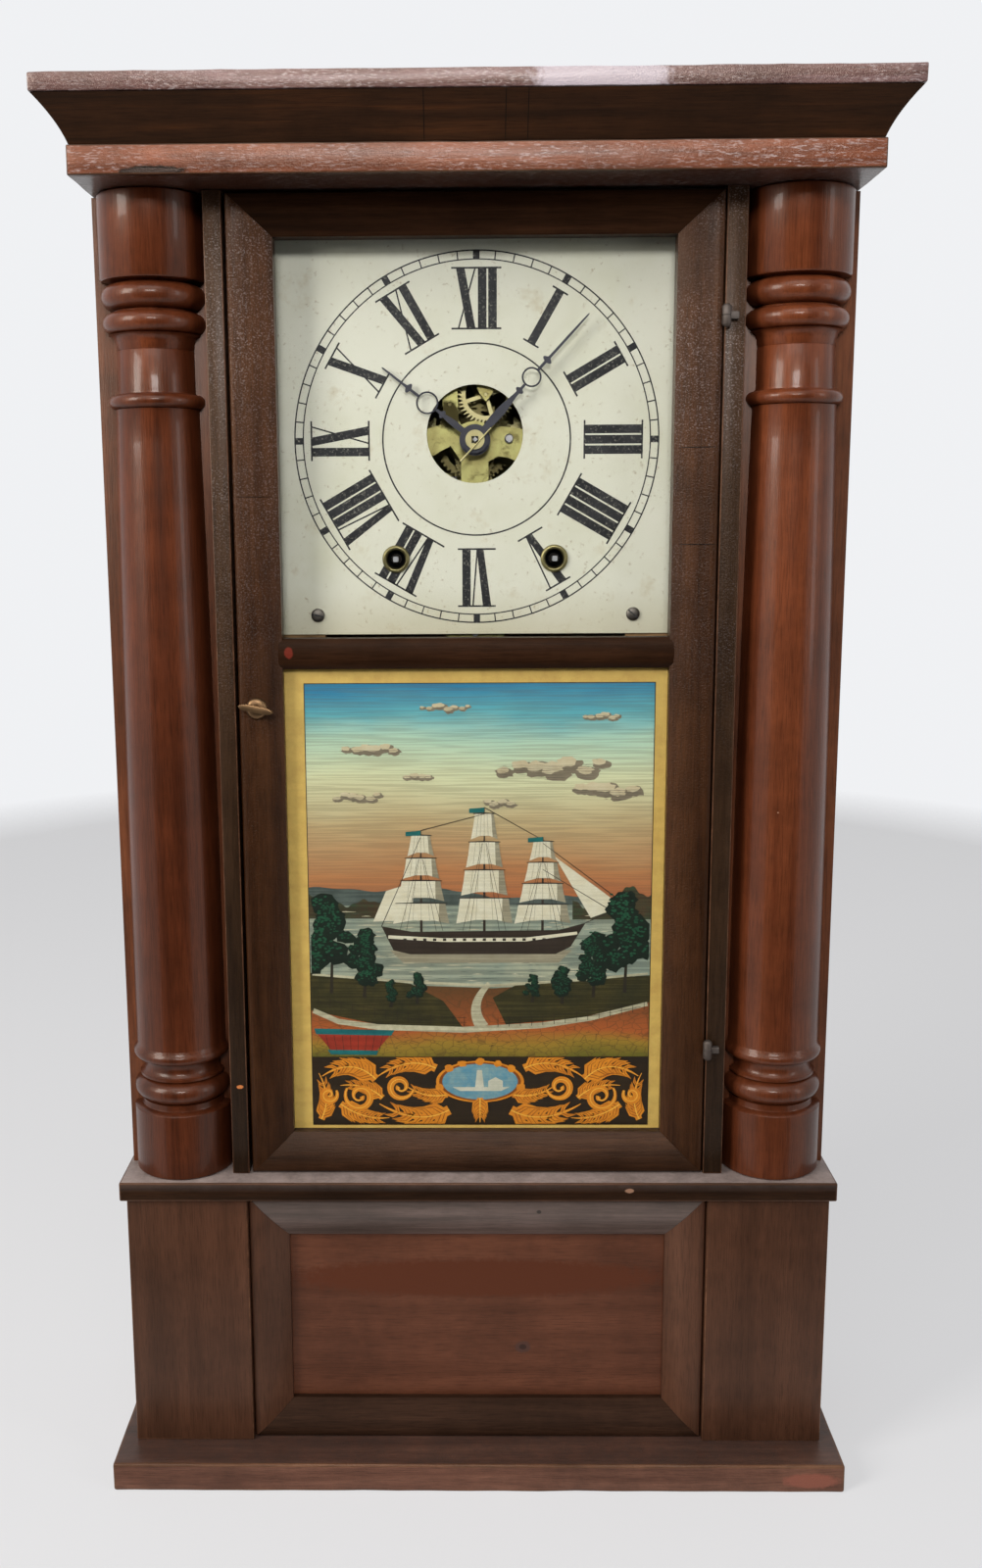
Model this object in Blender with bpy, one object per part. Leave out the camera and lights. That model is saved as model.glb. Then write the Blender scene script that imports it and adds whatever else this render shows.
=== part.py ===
"""Column and cornice shelf clock with an eight-day weight movement.

Metres, +Z up. X runs left to right, the clock's front looks along -Y, the
back board's rear face lies in the plane Y = 0, and the base stands on Z = 0.
"""

import math

import bmesh
import bpy
from mathutils import Matrix, Vector

mm = 0.001

# Clearances
GAP = 0.3 * mm            # between two pieces that touch
RUN = 0.25 * mm           # round a turning arbor, on the radius
DOOR_GAP = 1.7 * mm       # round the door, to the strips beside it
DOOR_END_GAP = 0.8 * mm   # under and over the door

# Heights
BASE_T = 18 * mm
BASE_STORY = 162 * mm     # from the base board to the shelf's underside
SHELF_T = 11.7 * mm
COLUMN_H = 574 * mm       # from the shelf to the architrave
ARCHITRAVE_T = 15.5 * mm
CROWN_H = 22 * mm
CORNICE_T = 9.5 * mm
HUB_DROP = 133.7 * mm     # from the architrave down to the hands' centre

# The case: half widths from the middle, and fronts from the back plane
CASE_X = 214.5 * mm
BASE_X = CASE_X + 9 * mm
SHELF_X = CASE_X + 2.5 * mm
BLOCK_X = CASE_X - 1 * mm
BLOCK_IN = CASE_X - 74.5 * mm
ARCHITRAVE_X = CASE_X - 0.5 * mm
CORNICE_OVER = 14.5 * mm  # how far the cornice stands out past the architrave
CASE_FRONT = 95 * mm
PANEL_FRONT = CASE_FRONT + 9 * mm
DOOR_FRONT = CASE_FRONT + 18 * mm
PANEL_FRAME_FRONT = CASE_FRONT + 24 * mm
BLOCK_FRONT = CASE_FRONT + 27 * mm
SHELF_FRONT = CASE_FRONT + 31 * mm
BASE_FRONT = CASE_FRONT + 51 * mm
ARCHITRAVE_FRONT = CASE_FRONT + 53 * mm

# Boards
SIDE_T = 12 * mm
BACK_T = 10 * mm
STILE_T = 12 * mm
CASE_TOP_T = 12 * mm
CASE_TOP_DROP = 15 * mm   # from the case's top edge down to the top board
STRIP_W = 10.3 * mm
STILE_LAP = 9 * mm        # how far the stile reaches behind the door

# Columns
COLUMN_R = 30 * mm
COLUMN_X = CASE_X - COLUMN_R - 3 * mm
COLUMN_CUT = 2.5 * mm     # the flat is cut this far in front of the column's axis
COLUMN_STEPS = 24
COLUMN_GROOVE_R = COLUMN_R - 4.7 * mm
COLUMN_BEAD_R = COLUMN_R - 0.5 * mm
SHAFT_FOOT_R, SHAFT_TAPER = COLUMN_R - 2.6 * mm, 3.4 * mm
NECK_R = COLUMN_R - 7.8 * mm

# Door
DOOR_T = 18 * mm
DOOR_STILE = 25.2 * mm
DOOR_TOP_RAIL = 22.5 * mm
DOOR_BOTTOM_RAIL = 23.6 * mm
DOOR_MID_RAIL = 17.8 * mm
MID_RAIL_DROP = 121.9 * mm  # from the hands' centre to the middle of this rail
GLASS_T = 2 * mm
GLASS_LAP = 3 * mm
GLASS_BACK = 6 * mm       # from the door's rear face to the glass
DOOR_SINK = 7 * mm        # how far the frame's face falls towards the glass
HINGE_PIN_R = 2.6 * mm
LATCH_IN, LATCH_DROP = 10.5 * mm, 30.6 * mm  # from the door's edge, from the middle rail
LATCH_SHANK_R = 2.2 * mm
LATCH_COLLAR_R = 5 * mm
LATCH_SINK = 2 * mm       # how deep the latch's collar is let into the door

# Dial and hands
DIAL_FRONT = CASE_FRONT - 9 * mm
DIAL_T = 1 * mm
DIAL_BELOW, DIAL_ABOVE = 112 * mm, 120 * mm  # from the hands' centre
DIAL_HOLE_R = 27.9 * mm
DIAL_HOLE_UP = 3.5 * mm
GROMMET_R = 8 * mm
GROMMET_BORE = 5.2 * mm
DIAL_SCREW_UP = 11.3 * mm
DIAL_SCREW_R = 4 * mm
RAIL_W = 41 * mm
RAIL_T = 14 * mm
MINUTE_HAND_L = 95.2 * mm
HOUR_HAND_L = 67.3 * mm
MINUTE_ANGLE = 43.1       # degrees clockwise from twelve
HOUR_ANGLE = 307.5
HAND_T = 0.9 * mm
HOUR_HAND_Y = DIAL_FRONT + 2.4 * mm
MINUTE_HAND_Y = DIAL_FRONT + 5.3 * mm
ARBOR_TIP_Y = DIAL_FRONT + 10.5 * mm

# Movement
PLATE_T = 2 * mm
FRONT_PLATE_Y = DIAL_FRONT - 4 * mm     # front face of the front plate
BACK_PLATE_Y = FRONT_PLATE_Y - 44 * mm  # front face of the back plate
WIND_X = 46.4 * mm
WIND_DROP = 68 * mm
WHEEL_T = 1.6 * mm
ARBOR_R = 1.5 * mm
PIVOT_R = ARBOR_R * 0.6
SHOULDER = 0.4 * mm       # an arbor's shoulders stand this far off the plates
GREAT_TEETH, GREAT_LEAVES = 48, 8
SECOND_TEETH, CENTRE_LEAVES = 40, 10
TRAIN_TEETH, TRAIN_LEAVES = 48, 6
ESCAPE_TEETH = 42
ESCAPE_R = 17 * mm
SECOND_X, SECOND_DROP = 40 * mm, 18.8 * mm
THIRD_X, THIRD_UP = -14.5 * mm, 20.5 * mm
ESCAPE_X, ESCAPE_UP = 6.5 * mm, 26 * mm
FLY_X, FLY_UP = -50 * mm, 22.4 * mm
MINUTE_DROP = 14 * mm
VERGE_UP = 47 * mm
PIPE_R = 4 * mm           # the hour hand sits on this pipe
SQUARE_R = 1.4 * mm       # the minute hand sits on this end of the centre arbor
DRUM_R = 8.7 * mm
DRUM_FLANGE_R = 11.3 * mm
DRUM_ARBOR_R = 3 * mm
CORD_R = 1 * mm
PULLEY_R = 14 * mm
PULLEY_X = CASE_X - 56.5 * mm

# Weights, pendulum and gong
WEIGHT_R = 24 * mm
WEIGHT_H = 150 * mm
WEIGHT_CLEAR = 6 * mm     # over the base board when run down
HOOK_H = 16 * mm
PENDULUM_L = 445 * mm
SUSPENSION_UP = 56 * mm
BOB_R = 24 * mm
GONG_X, GONG_DROP = -60 * mm, 162 * mm
GONG_R = 38 * mm
GONG_WIRE = 2.2 * mm
GONG_LOOPS = 3
HAMMER_X, HAMMER_DROP = -12 * mm, 22 * mm
HAMMER_L = 132 * mm

# Places worked out from the sizes above
BASE_TOP = BASE_T
SHELF_Z = BASE_T + BASE_STORY
SHELF_TOP = SHELF_Z + SHELF_T
CASE_TOP = SHELF_TOP + COLUMN_H
CROWN_Z = CASE_TOP + ARCHITRAVE_T
CORNICE_Z = CROWN_Z + CROWN_H
STRIP_X = COLUMN_X - COLUMN_R - 2 * mm
STRIP_IN = STRIP_X - STRIP_W
DOOR_X = STRIP_IN - DOOR_GAP
DOOR_Z0 = SHELF_TOP + DOOR_END_GAP
DOOR_Z1 = CASE_TOP - 2 * DOOR_END_GAP
CENTRE_Z = CASE_TOP - HUB_DROP
MID_RAIL_Z = CENTRE_Z - MID_RAIL_DROP
LATCH_X, LATCH_Z = LATCH_IN - DOOR_X, MID_RAIL_Z - LATCH_DROP
DIAL_X = DOOR_X - 13.5 * mm
DIAL_BOTTOM = CENTRE_Z - DIAL_BELOW
DIAL_TOP = CENTRE_Z + DIAL_ABOVE
DIAL_SCREW_X = DIAL_X - 31 * mm
PLATE_REAR_FACE = FRONT_PLATE_Y - PLATE_T
INNER_FRONT = PLATE_REAR_FACE - GAP
INNER_REAR = BACK_PLATE_Y + GAP
BACK_PLATE_REAR = BACK_PLATE_Y - PLATE_T
PIVOT_FRONT = FRONT_PLATE_Y - 0.4 * mm
PIVOT_REAR = BACK_PLATE_REAR + 0.4 * mm
GONG_Z = CENTRE_Z - GONG_DROP
HAMMER_Z = CENTRE_Z - HAMMER_DROP
PULLEY_Z = CASE_TOP - CASE_TOP_DROP - CASE_TOP_T / 2
DRUM_CORD_R = DRUM_R + CORD_R + GAP
PULLEY_CORD_R = PULLEY_R - 2 * mm
CORD_Y = FRONT_PLATE_Y - 28 * mm
WEIGHT_Y = CORD_Y - 8 * mm
PENDULUM_Y = BACK_PLATE_Y - 8 * mm

WOOD = {
    "case_mahogany": ((0.13, 0.040, 0.020), 0.35),
    "column_mahogany": ((0.19, 0.055, 0.028), 0.22),
    "door_mahogany": ((0.085, 0.030, 0.016), 0.38),
    "pine": ((0.42, 0.27, 0.14), 0.7),
}
METAL = {
    "brass": ((0.78, 0.60, 0.28), 0.35),
    "steel": ((0.46, 0.46, 0.46), 0.35),
    "blued_steel": ((0.06, 0.07, 0.13), 0.35),
    "iron": ((0.10, 0.09, 0.085), 0.6),
}
OTHER = {
    "dial_paint": ((0.80, 0.78, 0.66), 0.5),
    "glass": ((0.85, 0.90, 0.90), 0.05),
    "tablet_glass": ((0.55, 0.42, 0.25), 0.1),
    "cord": ((0.35, 0.28, 0.18), 0.9),
}


def make_materials():
    """One Principled material for each finish."""
    made = {}
    for table, metallic in ((WOOD, 0.0), (METAL, 1.0), (OTHER, 0.0)):
        for name, (colour, roughness) in table.items():
            material = bpy.data.materials.new(name)
            material.use_nodes = True
            shader = material.node_tree.nodes["Principled BSDF"]
            shader.inputs["Base Color"].default_value = (*colour, 1.0)
            shader.inputs["Roughness"].default_value = roughness
            shader.inputs["Metallic"].default_value = metallic
            material.diffuse_color = (*colour, 1.0)
            made[name] = material
    return made


def finish(bm, name, material, origin=(0, 0, 0), smooth=None):
    """Turn a bmesh into a named object whose origin is at the given point."""
    bmesh.ops.remove_doubles(bm, verts=bm.verts, dist=1e-6)
    bmesh.ops.recalc_face_normals(bm, faces=bm.faces)
    bmesh.ops.translate(bm, verts=bm.verts, vec=-Vector(origin))
    mesh = bpy.data.meshes.new(name)
    bm.to_mesh(mesh)
    bm.free()
    piece = bpy.data.objects.new(name, mesh)
    piece.location = origin
    bpy.context.scene.collection.objects.link(piece)
    mesh.materials.append(MATERIALS[material])
    if smooth:
        mesh.shade_smooth()
        mesh.set_sharp_from_angle(angle=math.radians(smooth))
    return piece


def box_bm(x0, x1, y0, y1, z0, z1):
    """A rectangular board between two corners."""
    bm = bmesh.new()
    bmesh.ops.create_cube(bm, size=1)
    size = Matrix.Diagonal((x1 - x0, y1 - y0, z1 - z0, 1))
    place = Matrix.Translation(((x0 + x1) / 2, (y0 + y1) / 2, (z0 + z1) / 2))
    bmesh.ops.transform(bm, matrix=place @ size, verts=bm.verts)
    return bm


def board(name, x0, x1, y0, y1, z0, z1, material="case_mahogany"):
    return finish(box_bm(x0, x1, y0, y1, z0, z1), name, material)


def prism_bm(outline, y0, y1):
    """An outline of (x, z) points, extruded from y0 to y1."""
    bm = bmesh.new()
    face = bm.faces.new([bm.verts.new((x, y0, z)) for x, z in outline])
    grown = bmesh.ops.extrude_face_region(bm, geom=[face])["geom"]
    moved = [item for item in grown if isinstance(item, bmesh.types.BMVert)]
    bmesh.ops.translate(bm, verts=moved, vec=(0, y1 - y0, 0))
    return bm


def turned_bm(profile, steps, centre=(0, 0, 0), along_y=False):
    """A profile of (radius, height) points, turned round its own axis.

    Upright, the heights are Z. Along Y, they are distances from the back plane.
    """
    bm = bmesh.new()
    verts = [bm.verts.new((radius, 0, height)) for radius, height in profile]
    edges = [bm.edges.new(pair) for pair in zip(verts, verts[1:])]
    bmesh.ops.spin(bm, geom=verts + edges, cent=(0, 0, 0), axis=(0, 0, 1),
                   angle=math.tau, steps=steps, use_merge=True)
    bmesh.ops.remove_doubles(bm, verts=bm.verts, dist=1e-7)
    if along_y:
        bmesh.ops.rotate(bm, cent=(0, 0, 0), verts=bm.verts,
                         matrix=Matrix.Rotation(math.radians(90), 3, "X"))
    bmesh.ops.translate(bm, verts=bm.verts, vec=centre)
    bmesh.ops.recalc_face_normals(bm, faces=bm.faces)
    return bm


def rod_bm(x, z, radius, y_front, y_rear, steps=10):
    """A plain round rod along Y between two distances from the back plane."""
    profile = [(0, y_rear), (radius, y_rear), (radius, y_front), (0, y_front)]
    return turned_bm(profile, steps, (x, 0, z), along_y=True)


def rod_bm_upright(x, y, radius, z0, z1, steps=10):
    """A plain upright round rod."""
    return turned_bm([(0, z0), (radius, z0), (radius, z1), (0, z1)], steps, (x, y, 0))


def rod_between_bm(start, end, radius, steps=8):
    """A plain round rod from one point to another."""
    run = Vector(end) - Vector(start)
    bm = turned_bm([(0, 0), (radius, 0), (radius, run.length), (0, run.length)], steps)
    turn = run.to_track_quat("Z", "Y").to_matrix()
    bmesh.ops.rotate(bm, cent=(0, 0, 0), verts=bm.verts, matrix=turn)
    bmesh.ops.translate(bm, verts=bm.verts, vec=start)
    return bm


def gather(parts):
    """One bmesh out of several that stand clear of each other."""
    together = bmesh.new()
    for bm in parts:
        spare = bpy.data.meshes.new("spare")
        bm.to_mesh(spare)
        bm.free()
        together.from_mesh(spare)
        bpy.data.meshes.remove(spare)
    return together


def combine(name, material, base, tools, origin=(0, 0, 0), smooth=None):
    """Unite or cut shapes: tools is a list of (operation, bmesh)."""
    piece = finish(base, name, material)
    spares = []
    for operation, bm in tools:
        tool = finish(bm, name + "_tool", material)
        tool.hide_render = True
        tool.display_type = "WIRE"
        modifier = piece.modifiers.new(operation.lower(), "BOOLEAN")
        modifier.operation = operation
        modifier.object = tool
        spares.append(tool)
    made = bpy.data.meshes.new_from_object(
        piece.evaluated_get(bpy.context.evaluated_depsgraph_get()))
    for item in [piece] + spares:
        bpy.data.objects.remove(item)
    bm = bmesh.new()
    bm.from_mesh(made)
    bmesh.ops.remove_doubles(bm, verts=bm.verts, dist=1e-6)
    bmesh.ops.dissolve_limit(bm, angle_limit=math.radians(0.2), verts=bm.verts, edges=bm.edges)
    return finish(bm, name, material, origin, smooth)


def swept_bm(stations, closed):
    """A wall through matching sections: each station is a ring of points."""
    bm = bmesh.new()
    rings = []
    for points in stations:
        verts = [bm.verts.new(point) for point in points]
        rings.append([bm.edges.new(pair) for pair in zip(verts, verts[1:] + verts[:1])])
    pairs = list(zip(rings, rings[1:]))
    if closed:
        pairs.append((rings[-1], rings[0]))
    for first, second in pairs:
        bmesh.ops.bridge_loops(bm, edges=first + second)
    if not closed:
        bmesh.ops.contextual_create(bm, geom=rings[0])
        bmesh.ops.contextual_create(bm, geom=rings[-1])
    return bm


def frame_section(width, face, rear, sink):
    """Section of a picture-frame moulding: (distance from the outer edge, y).

    The face is flat beside the outer edge and curves back towards the glass.
    """
    edge = 2.5 * mm
    points = [(0, -rear), (0, -(face - edge)), (edge * 0.3, -(face - edge * 0.3)), (edge, -face)]
    curve_steps = 4
    for step in range(1, curve_steps + 1):
        share = step / curve_steps
        points.append((edge + (width - edge) * share, -(face - sink * share ** 1.6)))
    points.append((width, -rear))
    return points


def frame_bm(x, z0, z1, section_for):
    """A mitred frame. section_for gives each side's section: left, bottom, right, top."""
    sides = {side: section_for(side) for side in ("left", "bottom", "right", "top")}
    corners = (("left", "bottom", -x, z0, 1, 1), ("bottom", "right", x, z0, -1, 1),
               ("right", "top", x, z1, -1, -1), ("top", "left", -x, z1, 1, -1))
    stations = []
    for first, second, cx, cz, sx, sz in corners:
        upright, level = (first, second) if first in ("left", "right") else (second, first)
        stations.append([(cx + sx * u, y, cz + sz * w)
                         for (u, y), (w, _) in zip(sides[upright], sides[level])])
    return swept_bm(stations, closed=True)


def build_boards():
    """The carcase: base, sides, back, top and front stiles."""
    board("base_board", -BASE_X, BASE_X, -BASE_FRONT, 0, 0, BASE_T)
    for side, sign in (("left", -1), ("right", 1)):
        xs = sorted((sign * CASE_X, sign * (CASE_X - SIDE_T)))
        board(f"side_{side}", *xs, -(CASE_FRONT - STILE_T - GAP), -(BACK_T + GAP),
              BASE_TOP + GAP, CASE_TOP - GAP)
    board("backboard", -CASE_X, CASE_X, -BACK_T, 0, BASE_TOP + GAP, CASE_TOP - GAP, "pine")
    inner = CASE_X - SIDE_T - GAP
    z1 = CASE_TOP - CASE_TOP_DROP
    top = box_bm(-inner, inner, -(CASE_FRONT - STILE_T - GAP), -(BACK_T + GAP), z1 - CASE_TOP_T, z1)
    cuts = []
    slot_y, axle_y = 6 * mm, 13 * mm
    for sign in (-1, 1):
        x = sign * PULLEY_X
        xs = sorted((x - sign * (PULLEY_R + 9 * mm), x + sign * (PULLEY_R + 2 * mm)))
        cuts.append(("DIFFERENCE", box_bm(*xs, -CORD_Y - slot_y, -CORD_Y + slot_y,
                                          z1 - 2 * CASE_TOP_T, z1 + CASE_TOP_T)))
        groove = ARBOR_R + RUN
        cuts.append(("DIFFERENCE", box_bm(x - groove, x + groove, -CORD_Y - axle_y, -CORD_Y + axle_y,
                                          PULLEY_Z - groove, z1 + CASE_TOP_T)))
    combine("case_top", "pine", top, cuts)
    for side, sign in (("left", -1), ("right", 1)):
        rear, front, door_rear = CASE_FRONT - STILE_T, CASE_FRONT, DOOR_FRONT
        outline = [(CASE_X, rear), (CASE_X, front), (STRIP_X, front), (STRIP_X, door_rear),
                   (STRIP_IN, door_rear), (STRIP_IN, front - GAP),
                   (STRIP_IN - STILE_LAP, front - GAP), (STRIP_IN - STILE_LAP, rear)]
        bm = bmesh.new()
        z0 = SHELF_TOP + GAP
        face = bm.faces.new([bm.verts.new((sign * x, -y, z0)) for x, y in outline])
        grown = bmesh.ops.extrude_face_region(bm, geom=[face])["geom"]
        moved = [item for item in grown if isinstance(item, bmesh.types.BMVert)]
        bmesh.ops.translate(bm, verts=moved, vec=(0, 0, CASE_TOP - GAP - z0))
        finish(bm, f"stile_{side}", "case_mahogany")


def build_base():
    """The shelf, the two blocks and the panel between them."""
    z0, z1 = BASE_TOP + GAP, SHELF_Z - GAP
    rear = CASE_FRONT - STILE_T + GAP
    board("waist_shelf", -SHELF_X, SHELF_X, -SHELF_FRONT, -rear, SHELF_Z, SHELF_TOP)
    for side, sign in (("left", -1), ("right", 1)):
        xs = sorted((sign * BLOCK_X, sign * BLOCK_IN))
        board(f"base_block_{side}", *xs, -BLOCK_FRONT, -rear, z0, z1)
    frame_x = BLOCK_IN - GAP
    widths = {"left": 23.2 * mm, "right": 23.2 * mm, "top": 30 * mm, "bottom": 20 * mm}
    frame_rear, sink = PANEL_FRONT + GAP, 11 * mm
    bm = frame_bm(frame_x, z0, z1,
                  lambda side: frame_section(widths[side], PANEL_FRAME_FRONT, frame_rear, sink))
    finish(bm, "base_panel_frame", "case_mahogany", smooth=25)
    board("base_panel", -frame_x, frame_x, -PANEL_FRONT, -rear, z0, z1)


def build_cornice():
    """Architrave board, coved crown and top board."""
    board("architrave", -ARCHITRAVE_X, ARCHITRAVE_X, -ARCHITRAVE_FRONT, 0, CASE_TOP, CROWN_Z - GAP)
    over = CORNICE_OVER
    inset = 1.2 * mm
    wall = 16 * mm
    z0, z1 = CROWN_Z, CORNICE_Z - GAP
    cove = []
    cove_steps = 5
    for step in range(cove_steps + 1):
        share = step / cove_steps
        out = -inset + (over + inset - 1 * mm) * (0.55 * share + 0.45 * share ** 2)
        cove.append((out, z0 + (z1 - z0) * share))
    section = cove + [(-wall, z1), (-wall, z0)]
    stations = []
    for x_sign, at_back in ((-1, True), (-1, False), (1, False), (1, True)):
        ring = []
        for out, z in section:
            y = -GAP if at_back else -(ARCHITRAVE_FRONT + out)
            ring.append((x_sign * (ARCHITRAVE_X + out), y, z))
        stations.append(ring)
    finish(swept_bm(stations, closed=False), "crown_moulding", "case_mahogany", smooth=25)
    board("cornice_top", -(ARCHITRAVE_X + over), ARCHITRAVE_X + over,
          -(ARCHITRAVE_FRONT + over), 0, CORNICE_Z, CORNICE_Z + CORNICE_T)


def half_round(z, radius, thick, steps):
    """Points of a half-round bead: its widest point is at the given radius."""
    points = []
    for step in range(steps + 1):
        angle = math.pi * step / steps
        points.append((radius - thick / 2 + thick / 2 * math.sin(angle),
                       z - thick / 2 * math.cos(angle)))
    return points


def column_profile():
    """The turned outline from the shelf up, as (radius, height)."""
    z0 = SHELF_TOP + GAP
    z1 = CASE_TOP - GAP
    foot = [(0, z0), (COLUMN_R, z0), (COLUMN_R, z0 + 41 * mm),
            (COLUMN_GROOVE_R, z0 + 42.2 * mm)]
    foot += half_round(z0 + 53 * mm, COLUMN_BEAD_R, 14 * mm, 4)
    foot += [(COLUMN_R - 4.2 * mm, z0 + 62.4 * mm), (COLUMN_R - 6.6 * mm, z0 + 67 * mm)]
    foot += half_round(z0 + 75.4 * mm, COLUMN_BEAD_R, 8 * mm, 4)
    shaft = []
    swell_steps = 4
    low, high = z0 + 81 * mm, z1 - 116.5 * mm
    for step in range(swell_steps + 1):
        share = step / swell_steps
        shaft.append((SHAFT_FOOT_R - SHAFT_TAPER * share ** 2.2, low + (high - low) * share))
    ring = half_round(z1 - 112 * mm, COLUMN_R - 2.2 * mm, 8.5 * mm, 3)
    neck = [(NECK_R, z1 - 107 * mm), (NECK_R, z1 - 84 * mm), (NECK_R + 1.1 * mm, z1 - 80 * mm),
            (COLUMN_GROOVE_R, z1 - 75.5 * mm)]
    beads = half_round(z1 - 69 * mm, COLUMN_BEAD_R, 12 * mm, 4)
    beads += half_round(z1 - 54.5 * mm, COLUMN_BEAD_R, 15 * mm, 4)
    head = [(COLUMN_R - 3 * mm, z1 - 46 * mm), (COLUMN_R, z1 - 44 * mm), (COLUMN_R, z1), (0, z1)]
    return foot + shaft + ring + neck + beads + head


def build_columns():
    """Half columns, turned whole and cut to a flat back."""
    flat = -(CASE_FRONT + GAP)
    axis_y = flat + COLUMN_CUT
    for side, sign in (("left", -1), ("right", 1)):
        bm = turned_bm(column_profile(), COLUMN_STEPS, (sign * COLUMN_X, axis_y, 0))
        geom = bm.verts[:] + bm.edges[:] + bm.faces[:]
        cut = bmesh.ops.bisect_plane(bm, geom=geom, plane_co=(0, flat, 0), plane_no=(0, 1, 0),
                                     clear_outer=True)["geom_cut"]
        rim = [item for item in cut if isinstance(item, bmesh.types.BMEdge)]
        bmesh.ops.holes_fill(bm, edges=rim)
        finish(bm, f"column_{side}", "column_mahogany", smooth=35)


def build_door():
    """The glazed door, its latch and its pin hinges."""
    hinge_x, hinge_y = DOOR_X + DOOR_GAP / 2, -(DOOR_FRONT + GAP + HINGE_PIN_R)
    origin = (hinge_x, hinge_y, 0)
    rear = DOOR_FRONT - DOOR_T + GAP
    widths = {"left": DOOR_STILE, "right": DOOR_STILE, "top": DOOR_TOP_RAIL, "bottom": DOOR_BOTTOM_RAIL}
    bm = frame_bm(DOOR_X, DOOR_Z0, DOOR_Z1,
                  lambda side: frame_section(widths[side], DOOR_FRONT, rear, DOOR_SINK))
    half = DOOR_MID_RAIL / 2
    inner = DOOR_X - DOOR_STILE
    crest = DOOR_FRONT - DOOR_SINK + 1.5 * mm
    rail_end = inner + 3 * mm
    rail_section = [(-half, rear), (-half, DOOR_FRONT - DOOR_SINK - 1 * mm), (-half * 0.6, crest),
                    (half * 0.6, crest), (half, DOOR_FRONT - DOOR_SINK - 1 * mm), (half, rear)]
    stations = [[(x, -y, MID_RAIL_Z + w) for w, y in rail_section] for x in (-rail_end, rail_end)]
    tools = [("UNION", swept_bm(stations, closed=False))]
    glass_rear = rear + GLASS_BACK
    openings = {"dial_glass": (MID_RAIL_Z + half, DOOR_Z1 - DOOR_TOP_RAIL),
                "tablet_glass": (DOOR_Z0 + DOOR_BOTTOM_RAIL, MID_RAIL_Z - half)}
    rebate_front = glass_rear + GLASS_T + 2 * GAP
    for z0, z1 in openings.values():
        tools.append(("DIFFERENCE", box_bm(
            -inner - GLASS_LAP - GAP, inner + GLASS_LAP + GAP, -rebate_front, -rear + 5 * mm,
            z0 - GLASS_LAP - GAP, z1 + GLASS_LAP + GAP)))
    tools.append(("DIFFERENCE", rod_bm(LATCH_X, LATCH_Z, LATCH_SHANK_R + RUN, 2 * DOOR_FRONT, 0, 12)))
    tools.append(("DIFFERENCE", rod_bm(LATCH_X, LATCH_Z, LATCH_COLLAR_R + GAP, 2 * DOOR_FRONT,
                                       DOOR_FRONT - LATCH_SINK, 20)))
    combine("door_frame", "door_mahogany", bm, tools, origin, smooth=25)
    for name, (z0, z1) in openings.items():
        material = "glass" if name == "dial_glass" else "tablet_glass"
        pane = box_bm(-inner - GLASS_LAP, inner + GLASS_LAP, -glass_rear - GLASS_T, -glass_rear,
                      z0 - GLASS_LAP, z1 + GLASS_LAP)
        finish(pane, name, material, origin)
    build_latch(origin)
    build_hinges(hinge_x, hinge_y)


def build_latch(door_origin):
    """A brass turn button: its plate, and the lever with its shank and hook."""
    x, z = LATCH_X, LATCH_Z
    bore = LATCH_SHANK_R + RUN
    seat = DOOR_FRONT - LATCH_SINK + GAP
    plate_r, plate_rear, plate_front = 6.2 * mm, DOOR_FRONT + GAP, DOOR_FRONT + GAP + 2.5 * mm
    section = [(bore, seat), (LATCH_COLLAR_R, seat), (LATCH_COLLAR_R, plate_rear), (plate_r, plate_rear),
               (plate_r, plate_rear + 1.5 * mm), (plate_r * 0.75, plate_front), (bore, plate_front),
               (bore, seat)]
    finish(turned_bm(section, 20, (x, 0, z), along_y=True), "latch_plate", "brass", door_origin, smooth=35)
    front = plate_front + GAP
    lever_t, lever_half = 3 * mm, 10 * mm
    outline = []
    for step in range(12):
        angle = math.tau * step / 12
        flare = 1 + 0.35 * abs(math.cos(angle))
        outline.append((lever_half * math.cos(angle), 1.9 * mm * flare * math.sin(angle)))
    lever = prism_bm(outline, -(front + lever_t), -front)
    tilt = Matrix.Rotation(math.radians(11.6), 3, "Y")
    bmesh.ops.rotate(lever, cent=(0, 0, 0), verts=lever.verts, matrix=tilt)
    bmesh.ops.translate(lever, verts=lever.verts, vec=(x, 0, z))
    hook_rear, hook_t, hook_half = CASE_FRONT - STILE_T - 2.6 * mm, 2 * mm, 2.4 * mm
    stem = rod_bm(x, z, LATCH_SHANK_R, front + 0.5 * lever_t, hook_rear + hook_t / 2, 12)
    hook = box_bm(x - hook_half, x + hook_half, -(hook_rear + hook_t), -hook_rear, z - 3 * mm, z + 7 * mm)
    combine("turn_latch", "brass", lever, [("UNION", stem), ("UNION", hook)], (x, 0, z), smooth=35)


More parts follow.
